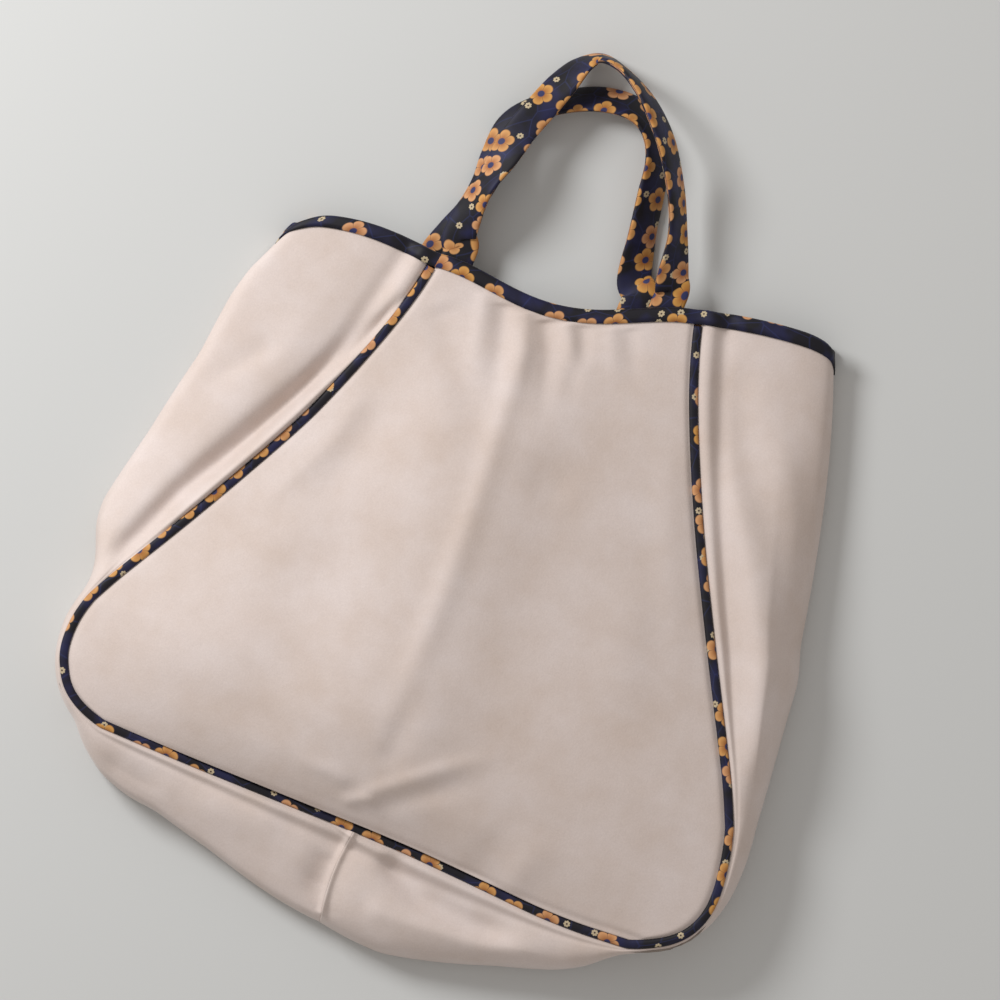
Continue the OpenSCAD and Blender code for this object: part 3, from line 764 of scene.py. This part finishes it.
# %% [markdown]
# The back panel lies flat on the floor under the rest, so it needs few points. Near
# the mouth it rises a little, because the binding is thicker than the cloth.

# %% Back panel
BACK_DIP = MOUTH_DIP + 4
BACK_STEPS = 60


def back_outer(i, u, low):
    """Face of the back panel at a station and a place across, at a height over the floor."""
    inset = -outward(plain_seam, i) * SEAM_GAP
    right, left = back_seam(i, 1) + inset, back_seam(i, -1) + inset
    s = mix(left * vec(-1, 1, 1), right, (u + 1) / 2)
    dip = BACK_DIP * max(0, 1 - i / SAG_STATIONS) ** 2 * (1 - u * u) ** 2
    bow = base_bow(BACK_DRIFT, s[0], u) * max(0, 1 - s[1] / BOW_REACH) ** 2
    return vec(s[0], s[1] - dip - bow, low + rise_at(s[1]))


def back_sheet(name, low, thick):
    """A flat sheet of the back panel's cut, at a height and with a thickness in mm."""
    steps = range(BACK_STEPS + 1)
    grid = lie_down(np.array([[back_outer(ROWS * i / BACK_STEPS, 2 * j / BACK_STEPS - 1, low)
                               for j in steps] for i in steps]))
    piece = grid_mesh(name, grid, cloth_uv(grid))
    return apply_modifier(piece, "SOLIDIFY", thickness=thick * MM, offset=-1)


back_panel = back_sheet("back_panel_cloth", 0, SHELL_T)
print("back panel", len(back_panel.data.polygons), "faces")

# %% [markdown]
# The lining is a thin plain sheet inside each panel. It shows only in the mouth, so it
# follows the same formulas a little deeper, with fewer points.

# %% Linings
LINING_DEPTH = SHELL_T + EASE


def deeper(grid, depth, side=1):
    """The same grid of points, moved to a depth under the face, with fewer points."""
    grid = grid[::3, ::3]
    across, down = np.gradient(grid, axis=1), np.gradient(grid, axis=0)
    normal = np.cross(across, down)
    normal /= np.linalg.norm(normal, axis=2, keepdims=True)
    return grid + side * normal * depth * MM


def lining_sheet(name, grid, flip):
    """A thin sheet of lining on a grid of points."""
    piece = grid_mesh(name, grid, cloth_uv(grid), flip=flip)
    return apply_modifier(piece, "SOLIDIFY", thickness=LINING_T * MM, offset=-1)


front_lining = lining_sheet("front_lining_cloth", deeper(front_flat, LINING_DEPTH), True)
back_lining = back_sheet("back_lining_cloth", LINING_DEPTH, LINING_T)
gusset_linings = [
    lining_sheet("left_gusset_lining_cloth", deeper(left_grid, LINING_DEPTH, -1), False),
    lining_sheet("right_gusset_lining_cloth", deeper(right_grid, LINING_DEPTH), True),
]
print("linings", len(front_lining.data.polygons), "faces in front")

# %% [markdown]
# Piping, binding and handles are all strips of printed cotton. Each is a ring of
# points swept along a line: the ring is the section of the folded strip, and the UV
# map runs along the line in millimetres, so the print follows the strip.

# %% Directions beside a line


def sides_of(line):
    """Unit vectors to the side of a line of points, and up from it, at each point."""
    run = np.gradient(line, axis=0)
    side = np.cross(run, vec(0, 0, 1))
    side /= np.linalg.norm(side, axis=1, keepdims=True)
    up = np.cross(side, run)
    up /= np.linalg.norm(up, axis=1, keepdims=True)
    return side, up


# %% Strip through rings
# Distance in metres within which the two ends of a closed strip become one
WELD = 1e-6


def swept(name, rings, closed=False):
    """Mesh through rings of points in metres, with UV along and round the strip in mm."""
    rings = np.asarray(rings)
    step = np.linalg.norm(np.diff(rings, axis=0), axis=2).mean(1)
    v = np.concatenate([[0], np.cumsum(step)]) / MM
    round_step = np.linalg.norm(np.roll(rings, -1, 1) - rings, axis=2).mean(0)
    u = np.concatenate([[0], np.cumsum(round_step)])[:-1] / MM
    if closed:
        rings = np.concatenate([rings, rings[:1]])
        v = np.append(v, v[-1] + step.mean() / MM)
    uv = np.stack(np.broadcast_arrays(u[None, :], v[:, None]), -1).astype(float)
    piece = grid_mesh(name, rings, uv, closed_across=True)
    bpy.ops.object.select_all(action="DESELECT")
    bpy.context.view_layer.objects.active = piece
    piece.select_set(True)
    bpy.ops.object.mode_set(mode="EDIT")
    bpy.ops.mesh.select_all(action="SELECT")
    if closed:
        bpy.ops.mesh.remove_doubles(threshold=WELD)
    else:
        bpy.ops.mesh.fill_holes(sides=0)
    bpy.ops.mesh.normals_make_consistent(inside=False)
    bpy.ops.object.mode_set(mode="OBJECT")
    return piece


# %% Section of a flat strip


def oval(width, thick, power, count):
    """Section of a flat strip: an oval whose sides get squarer with a higher power."""
    turn = np.linspace(0, 2 * math.pi, count, endpoint=False)
    c, s = np.cos(turn), np.sin(turn)
    return np.stack([np.sign(c) * np.abs(c) ** (2 / power) * width / 2,
                     np.sign(s) * np.abs(s) ** (2 / power) * thick / 2], -1)


# %% [markdown]
# The piping is a folded strip sewn into each seam, so it shows as a flat narrow roll. It
# starts under the binding on one side, runs down the seam, along the base and up the
# other side. Its section is an oval with rather square sides, as a pressed strip has.

# %% Piping
piping_start = (BINDING_LAP + EASE + PIPING_T / 4) / np.linalg.norm(plain_seam(1) - plain_seam(0))


def seam_line(place):
    """A line all along a seam, from the rim on the left to the rim on the right."""
    stations = np.concatenate([np.linspace(piping_start, SIDE, 80), np.linspace(SIDE, ROWS, 50)[1:],
                               np.linspace(ROWS, LAST, 70)[1:]])
    left = [place(i, -1) for i in stations]
    right = [place(i, 1) for i in stations[-2::-1]]
    return lie_down(np.array(left + right))


def piping(name, line):
    """A strip of piping along a line of places in metres."""
    section = oval(PIPING_W * MM, PIPING_T * MM, power=2.6, count=14)
    return swept(name, [p + section[:, :1] * side + section[:, 1:] * up
                        for p, side, up in zip(line, *sides_of(line))])


def on_front_seam(i, side):
    """The place of the piping on the front seam."""
    return seam(i, side) * vec(side, 1, 1)


def on_back_seam(i, side):
    """The place of the piping on the back seam, which lies on the floor."""
    return back_seam(i, side) * vec(side, 1, 1) + vec(0, 0, PIPING_T / 2)


front_piping = piping("front_piping_strip", seam_line(on_front_seam))
back_piping = piping("back_piping_strip", seam_line(on_back_seam))
print("piping", len(front_piping.data.polygons), "faces each")

# %% [markdown]
# The binding is one strip folded over the cut edges of cloth and lining all round the
# mouth. Its path takes a point on the edge and one under it, so that the folded strip
# stands in line with the cloth at each place.

# %% Pairs of points round the mouth
BINDING_STEPS, BINDING_SPLITS, UNDER_EDGE = 60, 8, 8


def front_pair(u):
    """A point of the front edge and one under it, at a place across."""
    return [front_outer(i, u) - vec(0, 0, STACK_MID) for i in (0, 1)]


def back_pair(u):
    """The same two points at the back edge, which lies level."""
    x, y, _ = back_outer(0, u, 0)
    return [vec(x, y - down, RIM_LIFT + STACK_MID) for down in (0, UNDER_EDGE)]


def gusset_pairs(side):
    """The same two points all along a gusset's edge, from its front seam to its back seam."""
    grid = gusset_grid(side, STACK_MID, (0, 1, 2), BINDING_SPLITS)
    return [[grid[0, k], grid[1, k]] for k in range(grid.shape[1])]


steps = np.linspace(-1, 1, BINDING_STEPS + 1)
pairs = [front_pair(u) for u in steps] + gusset_pairs(1)
pairs += [back_pair(u) for u in -steps] + gusset_pairs(-1)[::-1]
print("points round the mouth", len(pairs))

# %% Path of the rim binding
edge = lie_down(np.array([p[0] for p in pairs]))
under = lie_down(np.array([p[1] for p in pairs]))


def relaxed(line, times):
    """A ring of points, each moved towards its neighbours to take out kinks."""
    for _ in range(times):
        line = line * 0.5 + (np.roll(line, 1, 0) + np.roll(line, -1, 0)) * 0.25
    return line


up = relaxed((edge - under) / np.linalg.norm(edge - under, axis=1, keepdims=True), 3)
edge = relaxed(edge, 2)
out = np.cross(np.roll(edge, -1, 0) - np.roll(edge, 1, 0), up)
out /= np.linalg.norm(out, axis=1, keepdims=True)
round_mouth = np.linalg.norm(np.roll(edge, -1, 0) - edge, axis=1).sum()
print("the mouth is", round(round_mouth / MM), "mm round")

# %% Rim binding
# The section is an arch over the edge with two legs, which swell a little half way down
OUTSIDE, INSIDE, FOOT, SWELL = BINDING_HALF, STACK_MID + EASE, -BINDING_LAP, 0.15
arc = [(OUTSIDE * math.cos(a), OUTSIDE * math.sin(a)) for a in np.linspace(0, math.pi, 9)]
left_leg = [(-OUTSIDE, FOOT), (-INSIDE, FOOT), (-INSIDE, EASE)]
right_leg = [(INSIDE, EASE), (INSIDE, FOOT), (OUTSIDE, FOOT), (OUTSIDE + SWELL, FOOT / 2)]
RIM_SECTION = np.array(left_leg + right_leg + arc + [(-OUTSIDE - SWELL, FOOT / 2)])
rim_rings = [p + MM * (RIM_SECTION[:, :1] * o + RIM_SECTION[:, 1:] * w)
             for p, o, w in zip(edge, out, up)]
rim_binding = swept("rim_binding_strip", rim_rings, closed=True)
print("binding", len(rim_binding.data.polygons), "faces")

# %% [markdown]
# Each handle is one flat padded strap of the printed cotton. Both ends are sewn inside
# the mouth, and the strap stands up past the rim, twists on its edge and crosses the
# other handle. The route gives the strap's place, its roll and how high it lies.

# %% Routes of the handles
# Place across in half spans, share of the reach, roll in degrees, lowest height in mm
FRONT_ROUTE = [
    (-1.13, 0.103, 6, 15.5), (-1.13, 0.2, 26, 16), (-1.1, 0.288, 46, 17), (-1.06, 0.369, 52, 19),
    (-1.0, 0.477, 30, 21), (-0.934, 0.606, 8, 21.5), (-0.825, 0.725, 4, 21.5), (-0.715, 0.842, 22, 16),
    (-0.612, 0.931, 52, 7), (-0.448, 0.978, 78, 3), (-0.204, 0.941, 85, 9), (0.058, 0.857, 75, 18),
    (0.278, 0.754, 66, 22.5), (0.485, 0.633, 64, 22.5), (0.709, 0.458, 65, 15), (0.855, 0.297, 60, 13),
    (0.952, 0.123, 26, 14),
]
BACK_ROUTE = [
    (-0.93, 0.194, 22, 1), (-0.86, 0.318, 44, 0.1), (-0.8, 0.471, 40, 0.1), (-0.79, 0.627, 28, 0.1),
    (-0.76, 0.78, 30, 0.1), (-0.605, 0.877, 38, 0.1), (-0.34, 0.944, 42, 0.1), (-0.036, 0.981, 42, 0.1),
    (0.285, 0.966, 48, 0.1), (0.524, 0.889, 54, 0.1), (0.691, 0.749, 50, 0.1), (0.76, 0.552, 42, 0.1),
    (0.82, 0.343, 38, 0.1), (0.893, 0.145, 10, 1),
]
print("places on the routes", len(FRONT_ROUTE), "and", len(BACK_ROUTE))

# %% Hinge lines of the handles
FRONT_STRAP_MID, BACK_STRAP_MID, FRONT_SLIP = -3, -22, 5
STRAP_OUT = BINDING_HALF + EASE + STRAP_T / 2
LEAD, ROUTE_SPLITS = 10, 10
HINGE_PLACE = 0.75
front_base = front_outer(0, HINGE_PLACE)
front_run = front_outer(1, HINGE_PLACE) - front_base
front_slope = front_run[2] / front_run[1]
front_hinge = vec(front_base[1] + HINGE_H, front_base[2] - STACK_MID + front_slope * HINGE_H)
back_hinge = vec(back_outer(0, HINGE_PLACE, 0)[1] + HINGE_H, RIM_LIFT + STACK_MID)
print("front hinge", front_hinge.round(1), "back hinge", back_hinge.round(1))

# %% Rings of a strap


def handle_rings(mid, hinge, up, reach, route, slope, slip):
    """Rings of a strap, whose left end may slip a little to the left inside the mouth."""
    b = vec(mid + HANDLE_SPAN / 2, hinge[0], hinge[1] + up * STRAP_OUT)
    a = b - vec(HANDLE_SPAN + slip, 0, 0)
    lead = vec(0, LEAD, 0)
    foot = vec(0, -(TAIL + HINGE_H), -slope * (TAIL + HINGE_H))
    stops = [(a + foot, 0), (a + foot / 2, 0), (a, 0), (a + lead, 0)]
    for x, y, roll, low in route:
        turn = math.radians(roll)
        half = abs(math.sin(turn)) * STRAP_W / 2 + abs(math.cos(turn)) * STRAP_T / 2
        stops.append((vec(mid + x * HANDLE_SPAN / 2, hinge[0] + y * reach, low + half), roll))
    stops += [(b + lead, 0), (b, 0), (b + foot / 2, 0), (b + foot, 0)]
    places = curve_through(np.array([s[0] for s in stops]), ROUTE_SPLITS)
    rolls = np.radians(curve_through(np.array([[s[1]] for s in stops], float), ROUTE_SPLITS))
    side0, up0 = sides_of(places)
    side = side0 * np.cos(rolls) + up0 * np.sin(rolls)
    top = up0 * np.cos(rolls) - side0 * np.sin(rolls)
    section = oval(STRAP_W, STRAP_T, power=3.2, count=24)
    return [lie_down(p + section[:, :1] * s + section[:, 1:] * t) for p, s, t in zip(places, side, top)]


# %% Handle straps
front_strap = swept("front_handle_strap", handle_rings(
    FRONT_STRAP_MID, front_hinge, -1, FRONT_REACH, FRONT_ROUTE, -front_slope, FRONT_SLIP))
back_strap = swept("back_handle_strap", handle_rings(
    BACK_STRAP_MID, back_hinge, 1, BACK_REACH, BACK_ROUTE, 0, 0))
print("straps", len(front_strap.data.polygons), "and", len(back_strap.data.polygons), "faces")

# %% [markdown]
# The outer cloth is thick cotton with a brushed face, like suede to the hand. Short
# fibres scatter the light, so it has no gloss, a faint sheen at grazing angles, a fine
# nap, and soft clouds of lighter and darker colour where the nap lies differently.

# %% Brushed cloth
cloth, tree, shader = new_material("brushed_cotton_cloth")
place = node(tree, "ShaderNodeTexCoord").outputs["Object"]
# Sizes in metres of the clouds, of the nap and of the longer fibres, and the nap's depth
CLOUD, NAP, FIBRE, NAP_DEPTH = 0.045, 0.0011, 0.0035, 0.0003
clouds = node(tree, "ShaderNodeTexNoise",
              {"Vector": place, "Scale": 1 / CLOUD, "Detail": 3, "Roughness": 0.6})
nap = node(tree, "ShaderNodeTexNoise",
           {"Vector": place, "Scale": 1 / NAP, "Detail": 2, "Roughness": 0.7})
fibre = node(tree, "ShaderNodeTexNoise",
             {"Vector": place, "Scale": 1 / FIBRE, "Detail": 4, "Roughness": 0.75})
tone = node(tree, "ShaderNodeMapRange", {"Value": clouds, "From Min": 0.3, "From Max": 0.7})
colour = node(tree, "ShaderNodeMix", {"Factor": tone, "A": rgb("#c9b9af"), "B": rgb("#d3c6c0")},
              data_type="RGBA")
grain = node(tree, "ShaderNodeMapRange",
             {"Value": nap, "From Min": 0.25, "From Max": 0.75, "To Min": 0.94, "To Max": 1.05})
shade = node(tree, "ShaderNodeVectorMath", {0: colour.outputs["Result"], 1: grain},
             operation="MULTIPLY")
tree.links.new(shade.outputs["Vector"], shader.inputs["Base Color"])
height = node(tree, "ShaderNodeMath", {0: nap, 1: fibre}, operation="ADD")
bump = node(tree, "ShaderNodeBump", {"Height": height, "Strength": 0.35, "Distance": NAP_DEPTH})
tree.links.new(bump.outputs["Normal"], shader.inputs["Normal"])
shader.inputs["Roughness"].default_value = 0.92
shader.inputs["Specular IOR Level"].default_value = 0.25
shader.inputs["Sheen Weight"].default_value = 0.18
shader.inputs["Sheen Roughness"].default_value = 0.5
print(cloth.name, "with", len(tree.nodes), "nodes")

# %% [markdown]
# The trim is smooth printed cotton: a near black blue ground with ochre blossoms, small
# pale buds and thin blue stems, with lighter blue patches of painted sheen on the ground.
# The print is drawn with nodes on the UV map, which is in millimetres. Cells of a Voronoi
# pattern give each blossom its own middle and turn, and the distance and angle from that
# middle draw five round petals.

# %% Printed cotton
printed, tree, shader = new_material("printed_cotton")
uv = node(tree, "ShaderNodeUVMap", uv_map="cloth_mm")
# Size in mm of the cells and flowers, and how deep and how round the petals are cut
BLOSSOM_PITCH, BLOSSOM_R, BUD_PITCH, BUD_R = 20.5, 8.2, 15.0, 2.3
PETAL_DEPTH, PETAL_ROUND = 0.36, 0.55


def blossoms(pitch, radius, petals, randomness, shift):
    """Flowers in cells of a size in mm: masks of petals and eye, shares out and round, chance."""
    grid = node(tree, "ShaderNodeVectorMath", {0: uv, 1: (1 / pitch, 1 / pitch, 0), 2: shift},
                operation="MULTIPLY_ADD")
    cells = node(tree, "ShaderNodeTexVoronoi",
                 {"Vector": grid, "Scale": 1.0, "Randomness": randomness}, voronoi_dimensions="2D")
    chance = node(tree, "ShaderNodeSeparateColor", {"Color": cells.outputs["Color"]}).outputs
    local = node(tree, "ShaderNodeVectorMath", {0: grid, 1: cells.outputs["Position"]},
                 operation="SUBTRACT")
    away = node(tree, "ShaderNodeVectorMath", {0: local}, operation="LENGTH").outputs["Value"]
    parts = node(tree, "ShaderNodeSeparateXYZ", {"Vector": local}).outputs
    angle = node(tree, "ShaderNodeMath", {0: parts["Y"], 1: parts["X"]}, operation="ARCTAN2")
    turned = node(tree, "ShaderNodeMath", {0: chance["Red"], 1: 2 * math.pi, 2: angle},
                  operation="MULTIPLY_ADD")
    waves = node(tree, "ShaderNodeMath", {0: turned, 1: petals / 2}, operation="MULTIPLY")
    cosine = node(tree, "ShaderNodeMath", {0: waves}, operation="COSINE")
    wave = node(tree, "ShaderNodeMath", {0: cosine}, operation="ABSOLUTE")
    rounded = node(tree, "ShaderNodeMath", {0: wave, 1: PETAL_ROUND}, operation="POWER")
    reach = node(tree, "ShaderNodeMath", {0: rounded, 1: PETAL_DEPTH * radius / pitch,
                                          2: (1 - PETAL_DEPTH) * radius / pitch},
                 operation="MULTIPLY_ADD")
    share = node(tree, "ShaderNodeMath", {0: away, 1: reach}, operation="DIVIDE")
    middle = node(tree, "ShaderNodeMath", {0: away, 1: radius / pitch}, operation="DIVIDE")
    petal = node(tree, "ShaderNodeMapRange", {"Value": share, "From Min": 1.04, "From Max": 0.94})
    eye = node(tree, "ShaderNodeMapRange", {"Value": middle, "From Min": 0.31, "From Max": 0.25})
    return petal, eye, share, wave, chance


# %% [markdown]
# Masks say where each part of the print lies. The ground shifts slowly between a near
# black blue and lighter blue patches, which are painted sheen. The stems are the borders
# between long cells. Some buds and a few blossoms are left out by the chance value of
# their cell, so that the print isn't too even.

# %% Masks of the print
# Size in mm of the patches of painted sheen on the ground. The cells of the stems are
# counted for each mm, and are about 14 mm wide and 22 mm long
PAINTED_SHEEN_PATCH, STEM_CELLS = 20, (0.07, 0.045, 0)
# Shares of the buds, of the blossoms, and of the blossoms on narrow strips, left out
BUDS_OUT, BLOSSOMS_OUT, STRIP_OUT = 0.45, 0.08, 0.38
# Patches of lighter blue on the dark ground, from this noise, are painted sheen
painted_sheen_noise = node(tree, "ShaderNodeTexNoise", {"Vector": uv, "Scale": 1 / PAINTED_SHEEN_PATCH, "Detail": 2})
ground_and_painted_sheen = node(tree, "ShaderNodeMapRange", {"Value": painted_sheen_noise, "From Min": 0.45, "From Max": 0.65})
long_cells = node(tree, "ShaderNodeVectorMath", {0: uv, 1: STEM_CELLS}, operation="MULTIPLY")
stem_cells = node(tree, "ShaderNodeTexVoronoi", {"Vector": long_cells, "Scale": 1.0},
                  feature="DISTANCE_TO_EDGE", voronoi_dimensions="2D")
stem = node(tree, "ShaderNodeMapRange",
            {"Value": stem_cells, "From Min": 0.03, "From Max": 0.012, "To Max": 0.1})
bud, bud_eye, _, _, bud_chance = blossoms(BUD_PITCH, BUD_R, 7, 0.9, (0.4, 0.7, 0))
kept_buds = node(tree, "ShaderNodeMath", {0: bud_chance["Green"], 1: BUDS_OUT}, operation="GREATER_THAN")
bud_shown = node(tree, "ShaderNodeMath", {0: bud, 1: kept_buds}, operation="MULTIPLY")
petal, eye, share, wave, chance = blossoms(BLOSSOM_PITCH, BLOSSOM_R, 5, 0.3, (0.25, 0.1, 0))
kept = node(tree, "ShaderNodeMath", {0: chance["Blue"], 1: BLOSSOMS_OUT}, operation="GREATER_THAN",
            name="kept_blossoms")
petal_shown = node(tree, "ShaderNodeMath", {0: petal, 1: kept}, operation="MULTIPLY")
tip = node(tree, "ShaderNodeMapRange", {"Value": share, "From Min": 0.3, "From Max": 0.85})
vein = node(tree, "ShaderNodeMapRange",
            {"Value": wave, "From Min": 0.16, "From Max": 0.02, "To Max": 0.7})
print("masks made, print now has", len(tree.nodes), "nodes")

# %% Colours of the print
# Threads for each mm of the cotton, and how deep in metres they lie
THREADS_PER_MM, THREAD_DEPTH = 2.2, 0.0002
# Each colour is a mix of two others by a mask, and the last one is the finished print
MIXES = [
    # The lighter blue #1a1b3e of the ground is painted sheen
    ("ground_and_painted_sheen", ground_and_painted_sheen, "#0e0b14", "#1a1b3e"),
    ("stems", stem, "ground_and_painted_sheen", "#4a5aa8"),
    ("bud", bud_eye, "#b7a788", "#4a3a34"),
    ("buds", bud_shown, "stems", "bud"),
    ("tips", chance["Green"], "#c38e46", "#c69168"),
    ("hearts", chance["Green"], "#9c6128", "#9f653c"),
    ("petals", tip, "hearts", "tips"),
    ("veined", vein, "petals", "#5e3420"),
    ("blossom", eye, "veined", "#2b2f58"),
    ("print", petal_shown, "buds", "blossom"),
]
mixed = {}
for name, mask, *ends in MIXES:
    low, high = (mixed.get(end) or rgb(end) for end in ends)
    mixed[name] = node(tree, "ShaderNodeMix", {"Factor": mask, "A": low, "B": high},
                       data_type="RGBA").outputs["Result"]
tree.links.new(mixed["print"], shader.inputs["Base Color"])
threads = node(tree, "ShaderNodeTexNoise",
               {"Vector": uv, "Scale": THREADS_PER_MM, "Detail": 3, "Roughness": 0.7})
bump = node(tree, "ShaderNodeBump", {"Height": threads, "Strength": 0.3, "Distance": THREAD_DEPTH})
tree.links.new(bump.outputs["Normal"], shader.inputs["Normal"])
shader.inputs["Roughness"].default_value = 0.6
shader.inputs["Specular IOR Level"].default_value = 0.3
shader.inputs["Sheen Weight"].default_value = 0.05

# %% Print of the narrow strips
# Piping and binding show only slices of the print, and fewer of its blossoms
printed_strip = printed.copy()
printed_strip.name = "printed_cotton_strip"
printed_strip.node_tree.nodes["kept_blossoms"].inputs[1].default_value = STRIP_OUT
print("materials", [m.name for m in (cloth, printed, printed_strip)])

# %% [markdown]
# The lining is a plain woven cotton, matte and a little darker than the outer cloth. A
# checker of threads on the UV map is enough, because it shows only inside the mouth. It
# is drawn coarser than real threads so that it shows at all.

# %% Woven lining
plain_lining, tree, shader = new_material("woven_cotton_lining")
uv = node(tree, "ShaderNodeUVMap", uv_map="cloth_mm")
# Checks for each mm, so that each is about 0.6 mm wide
CHECKS_PER_MM = 1.6
weave = node(tree, "ShaderNodeTexChecker",
             {"Vector": uv, "Scale": CHECKS_PER_MM, "Color1": rgb("#968a80"), "Color2": rgb("#857a70")})
tree.links.new(weave.outputs["Color"], shader.inputs["Base Color"])
bump = node(tree, "ShaderNodeBump",
            {"Height": weave.outputs["Fac"], "Strength": 0.25, "Distance": THREAD_DEPTH})
tree.links.new(bump.outputs["Normal"], shader.inputs["Normal"])
shader.inputs["Roughness"].default_value = 0.85
print(plain_lining.name, "with", len(tree.nodes), "nodes")

# %% [markdown]
# Each piece of the shell rides on the shell's body and takes the place of the CAD solids
# that it shows. The shell is one body. A strap is sewn to the shell at both ends and
# free past the rim; each strap takes the place of the CAD solids of its handle.

# %% Ride
# Both ends of each hinge line
HINGES = {
    "front": (vec(-0.0559405, 0.141002, 0.0230899), vec(0.0780595, 0.154607, 0.0230899)),
    "back": (vec(-0.0751673, 0.134195, 0.003), vec(0.0588327, 0.14749, 0.003)),
}
STANDS_FOR = [
    (front_panel, cloth, "cloth", ("front_panel",)),
    (back_panel, cloth, "cloth", ("back_panel",)),
    (left_gusset, cloth, "cloth", ("left_gusset",)),
    (right_gusset, cloth, "cloth", ("right_gusset",)),
    (front_lining, plain_lining, "lining", ("front_lining",)),
    (back_lining, plain_lining, "lining", ("back_lining",)),
    (gusset_linings[0], plain_lining, "lining", ("left_gusset_lining",)),
    (gusset_linings[1], plain_lining, "lining", ("right_gusset_lining",)),
    (front_piping, printed_strip, "print", ("front_piping",)),
    (back_piping, printed_strip, "print", ("back_piping",)),
    (rim_binding, printed_strip, "print", ("rim_binding",)),
]
for piece, material, slot, nodes in STANDS_FOR:
    piece.data.materials.append(material)
    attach(piece, "shell")
    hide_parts(*nodes)
print("pieces on the shell", len(STANDS_FOR))

# %% Straps
for piece, which in ((front_strap, "front"), (back_strap, "back")):
    piece.data.materials.append(printed)
    start, end = HINGES[which]
    across = unit(np.cross(vec(0, 0, 1), end - start))
    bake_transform(piece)
    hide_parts(f"{which}_handle_sleeve", f"{which}_handle_core", f"{which}_handle_ends")
